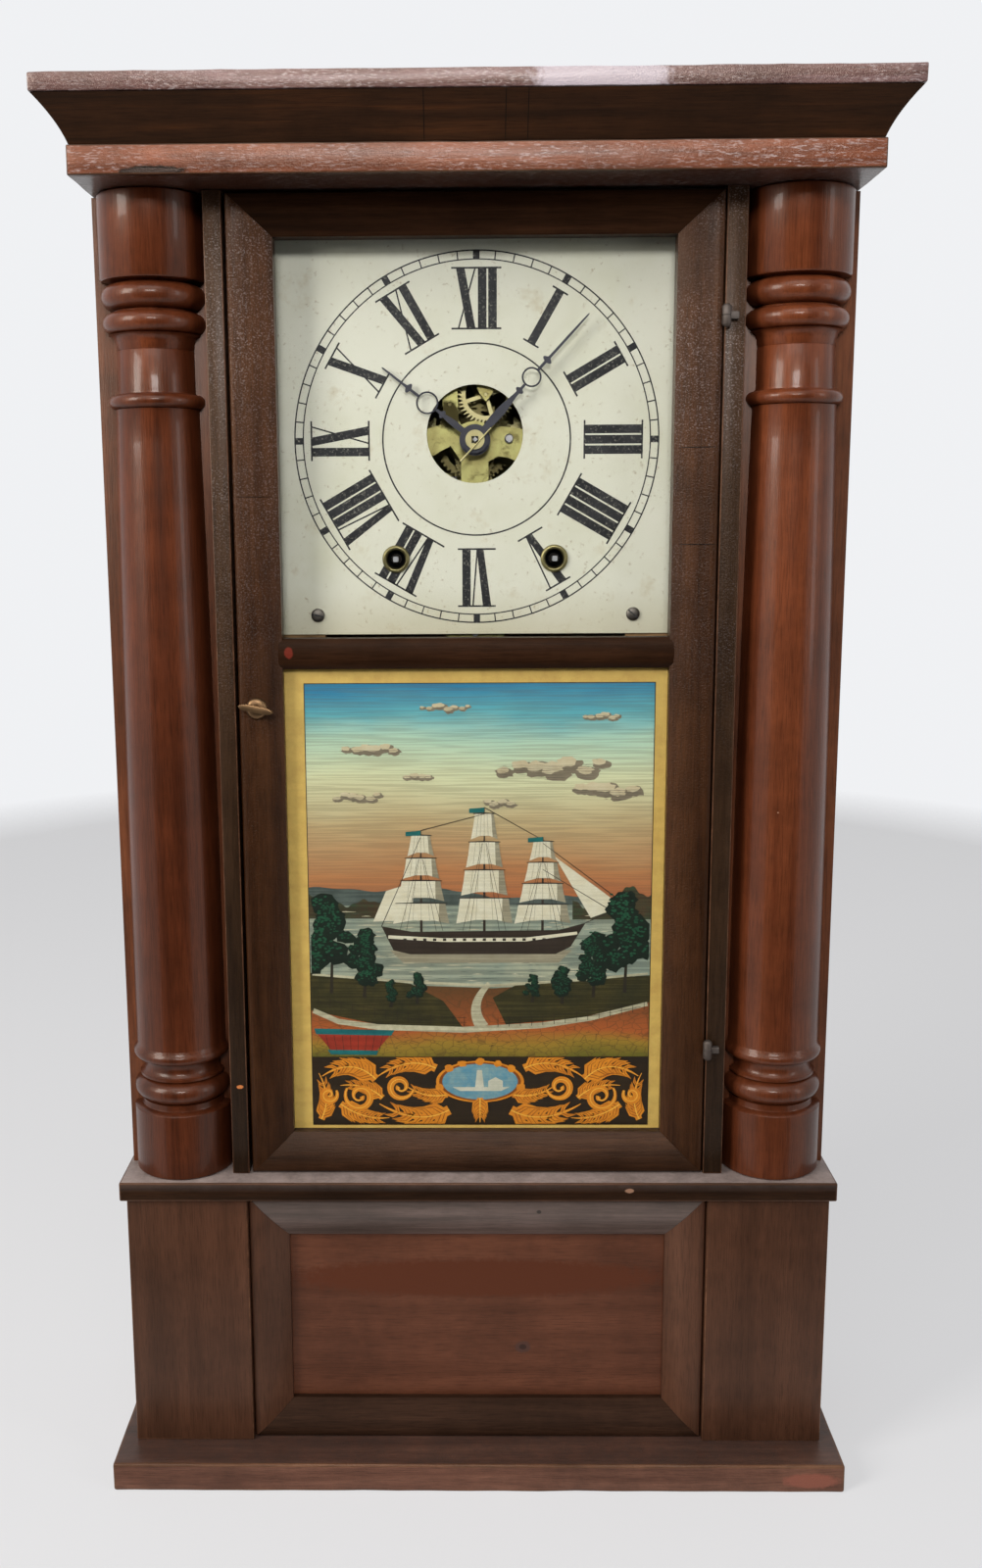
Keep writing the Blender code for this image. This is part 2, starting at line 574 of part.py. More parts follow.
def build_hinges(x, y):
    """Two pin hinges in the joint between the door and its strip, held by the strip."""
    length, end = 12 * mm, 1 * mm
    above_shelf, below_top = 80.5 * mm, 69 * mm
    tip_r = HINGE_PIN_R * 0.6
    for name, z in (("hinge_lower", SHELF_TOP + above_shelf), ("hinge_upper", CASE_TOP - below_top)):
        low, high = z - length / 2, z + length / 2
        profile = [(0, low), (tip_r, low), (HINGE_PIN_R, low + end), (HINGE_PIN_R, high - end),
                   (tip_r, high), (0, high)]
        pin = turned_bm(profile, 12, (x, y, 0))
        tail = box_bm(x + 0.5 * mm, STRIP_IN + 6 * mm, y - 0.7 * mm, -(DOOR_FRONT + GAP),
                      z - 2 * mm, z + 2 * mm)
        combine(name, "iron", pin, [("UNION", tail)], (x, y, 0), smooth=35)


def build_dial():
    """Painted dial plate with its centre hole, grommets, screws and rails."""
    y0, y1 = -DIAL_FRONT, -(DIAL_FRONT - DIAL_T)
    plate = box_bm(-DIAL_X, DIAL_X, y0, y1, DIAL_BOTTOM, DIAL_TOP)
    wind_z = CENTRE_Z - WIND_DROP
    hub_z = CENTRE_Z + DIAL_HOLE_UP
    neck_r = GROMMET_R - 1.6 * mm
    cuts = [("DIFFERENCE", rod_bm(0, hub_z, DIAL_HOLE_R, 2 * DIAL_FRONT, 0, 48))]
    for sign in (-1, 1):
        cuts.append(("DIFFERENCE", rod_bm(sign * WIND_X, wind_z, neck_r + GAP, 2 * DIAL_FRONT, 0, 20)))
    combine("dial", "dial_paint", plate, cuts)
    for side, sign in (("left", -1), ("right", 1)):
        lip = 1.6 * mm
        face, back = DIAL_FRONT + GAP, DIAL_FRONT - DIAL_T - GAP
        section = [(GROMMET_BORE, back - 2.5 * mm), (neck_r, back - 2.5 * mm), (neck_r, face),
                   (GROMMET_R, face), (GROMMET_R - 0.4 * mm, face + lip * 0.7),
                   (GROMMET_R - 1.4 * mm, face + lip), (GROMMET_BORE, face + lip * 0.5),
                   (GROMMET_BORE, back - 2.5 * mm)]
        ring = turned_bm(section, 20, (sign * WIND_X, 0, wind_z), along_y=True)
        finish(ring, f"grommet_{side}", "brass", smooth=35)
        screw_z = DIAL_BOTTOM + DIAL_SCREW_UP
        screw_face = DIAL_FRONT + GAP
        screw_x = sign * DIAL_SCREW_X
        slot_floor = screw_face + 0.9 * mm
        dome = [(0, screw_face), (DIAL_SCREW_R, screw_face), (DIAL_SCREW_R * 0.92, slot_floor),
                (DIAL_SCREW_R * 0.5, screw_face + 1.5 * mm), (0, screw_face + 1.6 * mm)]
        head = turned_bm(dome, 16, (screw_x, 0, screw_z), along_y=True)
        slot = box_bm(screw_x - 2 * DIAL_SCREW_R, screw_x + 2 * DIAL_SCREW_R,
                      -(screw_face + 4 * mm), -slot_floor, screw_z - 0.4 * mm, screw_z + 0.4 * mm)
        combine(f"dial_screw_{side}", "steel", head, [("DIFFERENCE", slot)], smooth=35)
        rail_y = DIAL_FRONT - DIAL_T - GAP
        lap = STRIP_IN - STILE_LAP - GAP
        xs = sorted((sign * lap, sign * (lap - RAIL_W)))
        board(f"dial_rail_{side}", *xs, -rail_y, -(rail_y - RAIL_T), DIAL_BOTTOM - 20 * mm,
              CASE_TOP - CASE_TOP_DROP - CASE_TOP_T - GAP, "pine")


def gear_outline(teeth, pitch_r, tip, root, phase=0.0):
    """A wheel's outline with V-shaped teeth; tip and root are in modules."""
    module = 2 * pitch_r / teeth
    tip_r, root_r = pitch_r + tip * module, pitch_r - root * module
    points = []
    for tooth in range(teeth):
        angle = math.tau * tooth / teeth + phase
        points.append((tip_r * math.cos(angle), tip_r * math.sin(angle)))
        angle += math.pi / teeth
        points.append((root_r * math.cos(angle), root_r * math.sin(angle)))
    return points


WHEEL_TIP, PINION_TIP, ROOT_SPARE = 0.9, 0.7, 0.35


def wheel_bm(x, z, teeth, pitch_r, y, thick=WHEEL_T, aim=0.0, pinion=False):
    """A toothed disc; a tooth of it points at the angle called aim."""
    tip, root = (PINION_TIP, WHEEL_TIP + ROOT_SPARE) if pinion else (WHEEL_TIP, PINION_TIP + ROOT_SPARE)
    outline = gear_outline(teeth, pitch_r, tip, root, aim)
    return prism_bm([(x + a, z + b) for a, b in outline], -(y + thick / 2), -(y - thick / 2))


def leaves_bm(x, z, leaves, pitch_r, y, length, aim):
    """A pinion with a gap between two leaves at the angle called aim."""
    return wheel_bm(x, z, leaves, pitch_r, y, length, aim + math.pi / leaves, pinion=True)


class Layout:
    """Arbor centres (x, z) and wheel planes (distances from the back)."""
    centre = (0.0, CENTRE_Z)
    great = {1: (WIND_X, CENTRE_Z - WIND_DROP), -1: (-WIND_X, CENTRE_Z - WIND_DROP)}
    second = {1: (SECOND_X, CENTRE_Z - SECOND_DROP), -1: (-SECOND_X, CENTRE_Z - SECOND_DROP)}
    third = (THIRD_X, CENTRE_Z + THIRD_UP)
    escape = (ESCAPE_X, CENTRE_Z + ESCAPE_UP)
    fly = (FLY_X, CENTRE_Z + FLY_UP)
    minute = (0.0, CENTRE_Z - MINUTE_DROP)
    verge = (0.0, CENTRE_Z + VERGE_UP)
    escape_y = FRONT_PLATE_Y - 3.7 * mm
    hour_y = FRONT_PLATE_Y - 6.1 * mm
    cannon_y = FRONT_PLATE_Y - 8.1 * mm
    third_y = FRONT_PLATE_Y - 10.5 * mm
    centre_y = FRONT_PLATE_Y - 13 * mm
    second_y = {1: FRONT_PLATE_Y - 16.8 * mm, -1: FRONT_PLATE_Y - 20.4 * mm}
    drum_y = FRONT_PLATE_Y - 22 * mm
    great_y = BACK_PLATE_Y + 5 * mm


def aim_at(a, b):
    return math.atan2(b[1] - a[1], b[0] - a[0])


def spacing(a, b):
    return math.hypot(b[0] - a[0], b[1] - a[1])


def pitch_radii(a, b, teeth, leaves):
    """Pitch radii of a wheel at a and a pinion at b."""
    module = 2 * spacing(a, b) / (teeth + leaves)
    return teeth * module / 2, leaves * module / 2


def arbor_bm(x, z):
    """An arbor whose turned-down ends run in both plates."""
    low, high = INNER_REAR + SHOULDER, INNER_FRONT - SHOULDER
    profile = [(0, PIVOT_REAR), (PIVOT_R, PIVOT_REAR), (PIVOT_R, low), (ARBOR_R, low),
               (ARBOR_R, high), (PIVOT_R, high), (PIVOT_R, PIVOT_FRONT), (0, PIVOT_FRONT)]
    return turned_bm(profile, 8, (x, 0, z), along_y=True)


def pivot_holes(places, radius=PIVOT_R + RUN):
    """Cutters for the holes that arbors run in, at (x, z) places."""
    return [rod_bm(x, z, radius, 2 * FRONT_PLATE_Y, 0, 9) for x, z in places]


def plate_outline():
    """Right half of the plates' outline from the top down, then mirrored."""
    right = [(0, 76), (50, 76), (54, 66), (57, 28), (58, 8), (72, -8), (87, -13), (87, -26), (72, -32),
             (60, -56), (56, -80), (38, -82), (14, -118), (0, -120)]
    right = [(x * mm, CENTRE_Z + up * mm) for x, up in right]
    left = [(-x, z) for x, z in reversed(right[1:-1])]
    return right + left


def window_bm(points, y):
    """A cutter through a plate, from offsets in millimetres from the centre arbor."""
    outline = [(x * mm, CENTRE_Z + up * mm) for x, up in points]
    return prism_bm(outline, -y - 5 * mm, -y + 5 * mm)


def build_plates():
    """Front and back plates; pillars and feet are riveted to the back plate."""
    low = [(8, -12), (8, -92), (30, -66), (34, -30), (30, -15), (20, -10), (14, -9)]
    high = [(10.5, 7), (15, 8), (24, 7), (44, 3), (47, 24), (30, 36), (24, 62), (12, 62), (10.5, 27),
            (6.5, 22), (2.5, 27), (-3.5, 43), (-4, 58), (-8, 58), (-10, 27), (-9.5, 13), (-8, 9),
            (-4, 10.5), (0, 11.3), (5, 10)]
    left_high = [(-19, 26), (-18, 14), (-20, 9), (-44, 2), (-45, 12), (-43, 34), (-30, 60), (-15, 60)]
    low_left = [(-8, -12), (-14, -3), (-20, -6), (-30, -12), (-34, -30), (-30, -66), (-8, -92)]
    back_low = [(9, -30), (9, -92), (30, -66), (33, -36), (26, -30)]
    back_high = [(22, 60), (30, 60), (43, 34), (45, 12), (42, 2), (24, 12)]
    back_windows = [back_low, back_high]
    back_windows += [[(-x, up) for x, up in reversed(points)] for points in (back_low, back_high)]
    train = [Layout.third, Layout.escape, Layout.fly, Layout.second[1], Layout.second[-1]]
    great = [Layout.great[1], Layout.great[-1]]
    windows = [window_bm(points, FRONT_PLATE_Y) for points in (low, low_left, high, left_high)]
    holes = pivot_holes(train + [Layout.verge]) + pivot_holes(great, DRUM_ARBOR_R + RUN)
    holes += pivot_holes([Layout.centre], PIPE_R + 0.2 * mm + RUN)
    front = prism_bm(plate_outline(), -FRONT_PLATE_Y, -PLATE_REAR_FACE)
    stud = rod_bm(*Layout.minute, 1 * mm, FRONT_PLATE_Y - PLATE_T / 2, Layout.cannon_y - 1.4 * mm, 8)
    combine("movement_front_plate", "brass", front, [
        ("DIFFERENCE", gather(windows)), ("DIFFERENCE", gather(holes)), ("UNION", stud)])
    cuts = [window_bm(points, BACK_PLATE_Y) for points in back_windows]
    cuts += pivot_holes(train + great + [Layout.centre, Layout.verge, (HAMMER_X, HAMMER_Z)])
    pillars, feet = [], []
    pillar_r, foot_r = 3.2 * mm, 4.5 * mm
    for x, up, has_foot in ((-45, 69, True), (45, 69, True), (-82, -19.5, True), (82, -19.5, True),
                            (0, -112, False)):
        place = (x * mm, CENTRE_Z + up * mm)
        pillars.append(rod_bm(*place, pillar_r, INNER_FRONT, BACK_PLATE_Y - 1.3 * mm, 8))
        if has_foot:
            feet.append(rod_bm(*place, foot_r, BACK_PLATE_Y - 0.6 * mm, BACK_T + GAP, 10))
    cock_z = CENTRE_Z + SUSPENSION_UP
    nose = box_bm(-5 * mm, 5 * mm, -(BACK_PLATE_Y - 1 * mm), -(PENDULUM_Y - 4 * mm),
                  cock_z + 3 * mm, cock_z + 7 * mm)
    back = prism_bm(plate_outline(), -BACK_PLATE_Y, -(BACK_PLATE_Y - PLATE_T))
    combine("movement_back_plate", "brass", back, [
        ("DIFFERENCE", gather(cuts)), ("UNION", gather(pillars)), ("UNION", gather(feet)), ("UNION", nose)])


def build_going_and_striking_wheels():
    """Great and second wheels of both trains, and the fly of the striking train."""
    for train, sign in (("time", 1), ("strike", -1)):
        great, second = Layout.great[sign], Layout.second[sign]
        great_r, small_r = pitch_radii(great, second, GREAT_TEETH, GREAT_LEAVES)
        disc = wheel_bm(*great, GREAT_TEETH, great_r, Layout.great_y, aim=aim_at(great, second))
        bore = rod_bm(*great, ARBOR_R + 1 * mm + RUN, 2 * FRONT_PLATE_Y, 0, 16)
        combine(f"{train}_great_wheel", "brass", disc, [("DIFFERENCE", bore)], (great[0], 0, great[1]))
        goal, goal_leaves = (Layout.centre, CENTRE_LEAVES) if sign > 0 else (Layout.fly, GREAT_LEAVES)
        second_r, _ = pitch_radii(second, goal, SECOND_TEETH, goal_leaves)
        arbor = arbor_bm(*second)
        disc = wheel_bm(*second, SECOND_TEETH, second_r, Layout.second_y[sign], aim=aim_at(second, goal))
        leaves = leaves_bm(*second, GREAT_LEAVES, small_r, Layout.great_y, 4 * mm, aim_at(second, great))
        combine(f"{train}_second_wheel", "brass", arbor, [("UNION", disc), ("UNION", leaves)],
                (second[0], 0, second[1]))
    fly, second = Layout.fly, Layout.second[-1]
    _, fly_r = pitch_radii(second, fly, SECOND_TEETH, GREAT_LEAVES)
    leaves = leaves_bm(*fly, GREAT_LEAVES, fly_r, Layout.second_y[-1], 4 * mm, aim_at(fly, second))
    half_w, half_t = 13 * mm, 0.6 * mm
    vane = box_bm(fly[0] - half_w, fly[0] + half_w, -(BACK_PLATE_Y + 20 * mm), -(BACK_PLATE_Y + 6 * mm),
                  fly[1] - half_t, fly[1] + half_t)
    combine("fly", "brass", arbor_bm(*fly), [("UNION", leaves), ("UNION", vane)], (fly[0], 0, fly[1]))


def build_hand_train():
    """Centre arbor, third wheel, escape wheel and the motion work."""
    centre, third, escape, minute = Layout.centre, Layout.third, Layout.escape, Layout.minute
    _, centre_small = pitch_radii(Layout.second[1], centre, SECOND_TEETH, CENTRE_LEAVES)
    centre_r, third_small = pitch_radii(centre, third, TRAIN_TEETH, TRAIN_LEAVES)
    third_r, escape_small = pitch_radii(third, escape, TRAIN_TEETH, TRAIN_LEAVES)
    cannon_teeth, minute_teeth, minute_leaves, hour_teeth = 8, 24, 8, 32
    minute_r, cannon_r = pitch_radii(minute, centre, minute_teeth, cannon_teeth)
    hour_r, minute_small = pitch_radii(centre, minute, hour_teeth, minute_leaves)
    shoulder_y = MINUTE_HAND_Y - GAP
    arbor = turned_bm([(0, PIVOT_REAR), (PIVOT_R, PIVOT_REAR), (PIVOT_R, INNER_REAR + SHOULDER),
                       (ARBOR_R, INNER_REAR + SHOULDER), (ARBOR_R, shoulder_y), (SQUARE_R, shoulder_y),
                       (SQUARE_R, ARBOR_TIP_Y), (0, ARBOR_TIP_Y)], 8, (0, 0, CENTRE_Z), along_y=True)
    disc = wheel_bm(*centre, TRAIN_TEETH, centre_r, Layout.centre_y, aim=aim_at(centre, third))
    tools = [("UNION", disc),
             ("UNION", leaves_bm(*centre, CENTRE_LEAVES, centre_small, Layout.second_y[1], 4 * mm,
                                 aim_at(centre, Layout.second[1]))),
             ("UNION", leaves_bm(*centre, cannon_teeth, cannon_r, Layout.cannon_y, WHEEL_T,
                                 aim_at(centre, minute)))]
    combine("centre_arbor", "brass", arbor, tools, (0, 0, CENTRE_Z))
    disc = wheel_bm(*third, TRAIN_TEETH, third_r, Layout.third_y, aim=aim_at(third, escape))
    leaves = leaves_bm(*third, TRAIN_LEAVES, third_small, Layout.centre_y, 2.4 * mm, aim_at(third, centre))
    combine("third_wheel", "brass", arbor_bm(*third), [("UNION", disc), ("UNION", leaves)],
            (third[0], 0, third[1]))
    points = []
    lean = 1.44 * mm / ESCAPE_R
    root = ESCAPE_R - 2.6 * mm
    for tooth in range(ESCAPE_TEETH):
        angle = math.tau * tooth / ESCAPE_TEETH
        points.append((escape[0] + ESCAPE_R * math.cos(angle), escape[1] + ESCAPE_R * math.sin(angle)))
        angle += lean
        points.append((escape[0] + root * math.cos(angle), escape[1] + root * math.sin(angle)))
    half = 0.6 * mm
    disc = prism_bm(points, -(Layout.escape_y + half), -(Layout.escape_y - half))
    leaves = leaves_bm(*escape, TRAIN_LEAVES, escape_small, Layout.third_y, 2 * mm, aim_at(escape, third))
    combine("escape_wheel", "brass", arbor_bm(*escape), [("UNION", disc), ("UNION", leaves)],
            (escape[0], 0, escape[1]))
    disc = wheel_bm(*minute, minute_teeth, minute_r, Layout.cannon_y, 1.4 * mm, aim=aim_at(minute, centre))
    leaves = leaves_bm(*minute, minute_leaves, minute_small, Layout.hour_y - 0.5 * mm, 2.8 * mm,
                       aim_at(minute, centre))
    bore = rod_bm(*minute, 1 * mm + RUN, 2 * FRONT_PLATE_Y, 0, 8)
    combine("minute_wheel", "brass", disc, [("UNION", leaves), ("DIFFERENCE", bore)],
            (minute[0], 0, minute[1]))
    disc = wheel_bm(*centre, hour_teeth, hour_r, Layout.hour_y, 1.4 * mm, aim=aim_at(centre, minute))
    pipe = rod_bm(0, CENTRE_Z, PIPE_R, HOUR_HAND_Y + 1.8 * mm, Layout.hour_y, 16)
    bore = rod_bm(0, CENTRE_Z, ARBOR_R + 1 * mm, 2 * FRONT_PLATE_Y, 0, 16)
    combine("hour_wheel", "brass", disc, [("UNION", pipe), ("DIFFERENCE", bore)], (0, 0, CENTRE_Z))


def hand_point(along, across, degrees):
    """A point beside a hand's centre line, turned clockwise from twelve."""
    angle = math.radians(degrees)
    return (along * math.sin(angle) + across * math.cos(angle),
            CENTRE_Z + along * math.cos(angle) - across * math.sin(angle))


def build_hand(name, length, hub_r, bore_r, ring_at, ring_r, cross_at, belly, degrees, y):
    """A flat steel hand: hub, swelling arm, open ring, cross piece and tip."""
    side = [(0, hub_r * 0.45), (ring_at * 0.45, belly), (ring_at - ring_r - 6 * mm, belly * 0.35),
            (ring_at, 0.7 * mm), (length * 0.97, 0.45 * mm)]
    outline = [(along, -across) for along, across in side] + [(length, 0)]
    outline += [(along, across) for along, across in reversed(side)]
    middle = y + HAND_T / 2

    def slab(points, thick):
        places = [hand_point(along, across, degrees) for along, across in points]
        return prism_bm(places, -(middle + thick / 2), -(middle - thick / 2))

    def bar(at, half_length, half_width, thick):
        return slab([(at - half_width, -half_length), (at + half_width, -half_length),
                     (at + half_width, half_length), (at - half_width, half_length)], thick)

    def disc(at, radius, thick, steps=20):
        return rod_bm(*hand_point(at, 0, degrees), radius, middle + thick / 2, middle - thick / 2, steps)

    eye_r, half = ring_r - 1.1 * mm, HAND_T * 0.4
    ring_x, ring_z = hand_point(ring_at, 0, degrees)
    section = [(eye_r, middle - half), (ring_r, middle - half), (ring_r, middle + half),
               (eye_r, middle + half), (eye_r, middle - half)]
    ring = turned_bm(section, 22, (ring_x, 0, ring_z), along_y=True)
    small_at = ring_at - ring_r - 4.5 * mm
    tools = [("UNION", slab(outline, HAND_T * 0.9)),
             ("DIFFERENCE", disc(ring_at, ring_r - 0.5 * mm, 4 * HAND_T)),
             ("UNION", ring), ("UNION", bar(cross_at, 3 * mm, 0.8 * mm, HAND_T * 0.7)),
             ("UNION", bar(small_at, 2.2 * mm, 0.5 * mm, HAND_T * 0.7)),
             ("DIFFERENCE", disc(0, bore_r, 4 * HAND_T, 16))]
    combine(name, "blued_steel", disc(0, hub_r, HAND_T), tools, (0, 0, CENTRE_Z))


def build_hands():
    """Both hands and the brass collet that holds them, with its taper pin."""
    bore_r = SQUARE_R + GAP
    build_hand("hour_hand", HOUR_HAND_L, 8.9 * mm, PIPE_R + GAP, 34.5 * mm, 6.5 * mm, 48 * mm, 2.6 * mm,
               HOUR_ANGLE, HOUR_HAND_Y)
    build_hand("minute_hand", MINUTE_HAND_L, 7.6 * mm, bore_r, 47.5 * mm, 5.7 * mm, 60.5 * mm, 2.6 * mm,
               MINUTE_ANGLE, MINUTE_HAND_Y)
    y = MINUTE_HAND_Y + HAND_T + GAP
    rim_r, crown_r, edge_t, thick = 5.5 * mm, 3.5 * mm, 0.8 * mm, 1.4 * mm
    section = [(bore_r, y), (rim_r, y), (rim_r, y + edge_t), (crown_r, y + thick),
               (bore_r, y + thick), (bore_r, y)]
    washer = turned_bm(section, 20, (0, 0, CENTRE_Z), along_y=True)
    pin_y = -(y + thick + 0.2 * mm)
    ends = [hand_point(along, SQUARE_R + 0.9 * mm, MINUTE_ANGLE) for along in (-15 * mm, 11 * mm)]
    pin = rod_between_bm((ends[0][0], pin_y, ends[0][1]), (ends[1][0], pin_y, ends[1][1]), 0.55 * mm, 6)
    combine("hand_collet", "brass", washer, [("UNION", pin)], (0, 0, CENTRE_Z))


def build_drums():
    """Winding arbors: a square for the key, the cord drum and its flanges."""
    for train, sign in (("time", 1), ("strike", -1)):
        x, z = Layout.great[sign]
        boss, flange_t = 2.5 * mm, 1.2 * mm
        front = Layout.drum_y
        rear = front - 11.5 * mm
        neck_y = DIAL_FRONT - 2 * mm
        profile = [(0, PIVOT_REAR), (PIVOT_R, PIVOT_REAR), (PIVOT_R, INNER_REAR + SHOULDER),
                   (boss, INNER_REAR + SHOULDER), (boss, rear - flange_t),
                   (DRUM_FLANGE_R, rear - flange_t), (DRUM_FLANGE_R, rear), (DRUM_R, rear),
                   (DRUM_R, front), (DRUM_FLANGE_R, front), (DRUM_FLANGE_R, front + flange_t),
                   (DRUM_ARBOR_R, front + flange_t), (DRUM_ARBOR_R, neck_y), (0, neck_y)]
        drum = turned_bm(profile, 18, (x, 0, z), along_y=True)
        half = 1.5 * mm
        square = box_bm(x - half, x + half, -(DIAL_FRONT + 5.5 * mm), -(neck_y - 1 * mm), z - half, z + half)
        combine(f"{train}_drum", "brass", drum, [("UNION", square)], (x, 0, z), smooth=35)


def build_escapement():
    """Verge with its pallets and crutch, clear of the escape wheel, and the pendulum."""
    vx, vz = Layout.verge
    ex, ez = Layout.escape
    clear = ESCAPE_R + 2.1 * mm
    strip = 1.1 * mm
    inner, outer = [], []
    start, end, steps = math.radians(28), math.radians(158), 8
    for step in range(steps + 1):
        angle = start + (end - start) * step / steps
        inner.append((ex + clear * math.cos(angle), ez + clear * math.sin(angle)))
        outer.append((ex + (clear + strip) * math.cos(angle), ez + (clear + strip) * math.sin(angle)))
    half = 1.1 * mm
    bow = prism_bm(inner + list(reversed(outer)), -(Layout.escape_y + half), -(Layout.escape_y - half))
    bow_top = ez + math.sqrt(clear ** 2 - (vx - ex) ** 2)
    stem = box_bm(vx - 1.6 * mm, vx + 1.6 * mm, -(Layout.escape_y + half * 0.9),
                  -(Layout.escape_y - half * 0.9), bow_top + strip / 2, vz)
    arbor = rod_bm(vx, vz, PIVOT_R, INNER_FRONT + 0.8 * mm, BACK_PLATE_REAR - 3 * mm, 8)
    crutch_low, crutch_half, crutch_y = vz - 39 * mm, 0.8 * mm, BACK_PLATE_REAR - 1.5 * mm
    fork_top = crutch_low + 1.5 * mm
    crutch = box_bm(vx - crutch_half, vx + crutch_half, -(crutch_y + 0.7 * mm), -(crutch_y - 0.7 * mm),
                    crutch_low, vz + 1.5 * mm)
    arms = []
    arm_x, arm_w = 1.8 * mm, 1 * mm
    for sign in (-1, 1):
        xs = sorted((sign * arm_x, sign * (arm_x + arm_w)))
        arms.append(("UNION", box_bm(*xs, -(crutch_y + 0.5 * mm), -(PENDULUM_Y - 1.8 * mm),
                                     crutch_low, fork_top)))
    bridge = box_bm(-arm_x - arm_w, arm_x + arm_w, -(crutch_y + 0.6 * mm), -(crutch_y - 0.6 * mm),
                    crutch_low, fork_top)
    unions = [("UNION", bm) for bm in (stem, arbor, crutch, bridge)]
    combine("verge", "steel", bow, unions + arms, (vx, 0, vz))
    build_pendulum()


def build_pendulum():
    """Rod with its suspension spring and rating nut, and the bob that slides on it."""
    top = CENTRE_Z + SUSPENSION_UP
    bob_z = top - PENDULUM_L
    bob_low = bob_z - BOB_R
    rod_r, nut_r = 0.8 * mm, 3.5 * mm
    rod = rod_bm_upright(0, -PENDULUM_Y, rod_r, bob_low - 12 * mm, top - 12 * mm)
    spring = box_bm(-1.6 * mm, 1.6 * mm, -(PENDULUM_Y + 0.2 * mm), -(PENDULUM_Y - 0.2 * mm),
                    top - 14 * mm, top + 2.6 * mm)
    nut = rod_bm_upright(0, -PENDULUM_Y, nut_r, bob_low - 6.5 * mm, bob_low - 1 * mm)
    combine("pendulum_rod", "steel", rod, [("UNION", spring), ("UNION", nut)], (0, -PENDULUM_Y, top))
    lens = [(0, -5.5), (14, -4.6), (21, -2.6), (24, -0.8), (24, 0.8), (21, 2.6), (14, 4.6), (0, 5.5)]
    bob = turned_bm([(r * BOB_R / 24, PENDULUM_Y + t * mm) for r, t in lens], 24, (0, 0, bob_z), along_y=True)
    bore = rod_bm_upright(0, -PENDULUM_Y, rod_r + GAP, bob_z - 2 * BOB_R, bob_z + 2 * BOB_R)
    combine("pendulum_bob", "brass", bob, [("DIFFERENCE", bore)], (0, -PENDULUM_Y, top), smooth=35)


def gong_points():
    """The gong's wire: a flat spiral whose inner end turns back to its base."""
    y = -(BACK_T + 9.5 * mm)
    inner_r = 9 * mm
    steps = 24
    points = []
    for step in range(GONG_LOOPS * steps + 1):
        turn = step / steps
        radius = GONG_R - (GONG_R - inner_r) * turn / GONG_LOOPS
        angle = math.tau * turn
        points.append(Vector((GONG_X + radius * math.cos(angle), y, GONG_Z + radius * math.sin(angle))))
    ends = 6
    for step in range(1, ends + 1):
        share = step / ends
        radius = inner_r * (1 - share)
        angle = math.tau * GONG_LOOPS + share * math.pi * 0.6
        points.append(Vector((GONG_X + radius * math.cos(angle), y + share ** 2 * 2.2 * mm,
                              GONG_Z + radius * math.sin(angle))))
    points.append(points[-1] + Vector((0, 2.6 * mm, 0)))
    return points


def least_gap(points, radius, skip):
    """The smallest clear distance from a tube to another stretch of itself."""
    least = 1.0
    for i, first in enumerate(points):
        for second in points[i + skip:]:
            least = min(least, (first - second).length - 2 * radius)
    return least


def tube(name, points, radius, material, resolution=1):
    """A round tube through points, with closed ends."""
    curve = bpy.data.curves.new(name, "CURVE")
    curve.dimensions = "3D"
    spline = curve.splines.new("POLY")
    spline.points.add(len(points) - 1)
    for slot, point in zip(spline.points, points):
        slot.co = (*point, 1)
    curve.bevel_depth = radius
    curve.bevel_resolution = resolution
    curve.use_fill_caps = True
    curve.render_resolution_u = 0
    curve.materials.append(MATERIALS[material])
    piece = bpy.data.objects.new(name, curve)
    bpy.context.scene.collection.objects.link(piece)
    return piece


def build_gong_and_hammer():
    """Wire gong on its iron base, and the hammer that swings beside it."""
    points = gong_points()
    tube("gong", points, GONG_WIRE / 2, "steel")
    print("gong: least gap between its turns, mm:", round(least_gap(points, GONG_WIRE / 2, 8) / mm, 2))
    seat = -points[-1].y - GAP
    foot = BACK_T + GAP
    base = turned_bm([(0, foot), (13 * mm, foot), (13 * mm, foot + 1.5 * mm), (5 * mm, foot + 2.5 * mm),
                      (5 * mm, seat), (0, seat)], 16, (GONG_X, 0, GONG_Z), along_y=True)
    finish(base, "gong_base", "iron", smooth=35)
    y = -points[0].y
    arbor_front = BACK_PLATE_Y + 6 * mm
    arbor = rod_bm(HAMMER_X, HAMMER_Z, PIVOT_R, arbor_front, y - 1 * mm, 8)
    arm = rod_between_bm((HAMMER_X, -y, HAMMER_Z + 2 * mm), (HAMMER_X, -y, HAMMER_Z - HAMMER_L), 0.9 * mm)
    head_z = HAMMER_Z - HAMMER_L
    head = turned_bm([(0, -5 * mm), (4 * mm, -5 * mm), (5 * mm, -3.5 * mm), (5 * mm, 3.5 * mm),
                      (4 * mm, 5 * mm), (0, 5 * mm)], 12)
    turn = Matrix.Rotation(math.radians(90), 3, "Y")
    bmesh.ops.rotate(head, cent=(0, 0, 0), verts=head.verts, matrix=turn)
    bmesh.ops.translate(head, verts=head.verts, vec=(HAMMER_X, -y, head_z))
    collar = rod_bm(HAMMER_X, HAMMER_Z, 3 * mm, arbor_front, BACK_PLATE_Y + 1 * mm, 10)
    combine("hammer", "steel", arbor, [("UNION", arm), ("UNION", head), ("UNION", collar)],
            (HAMMER_X, 0, HAMMER_Z), smooth=35)


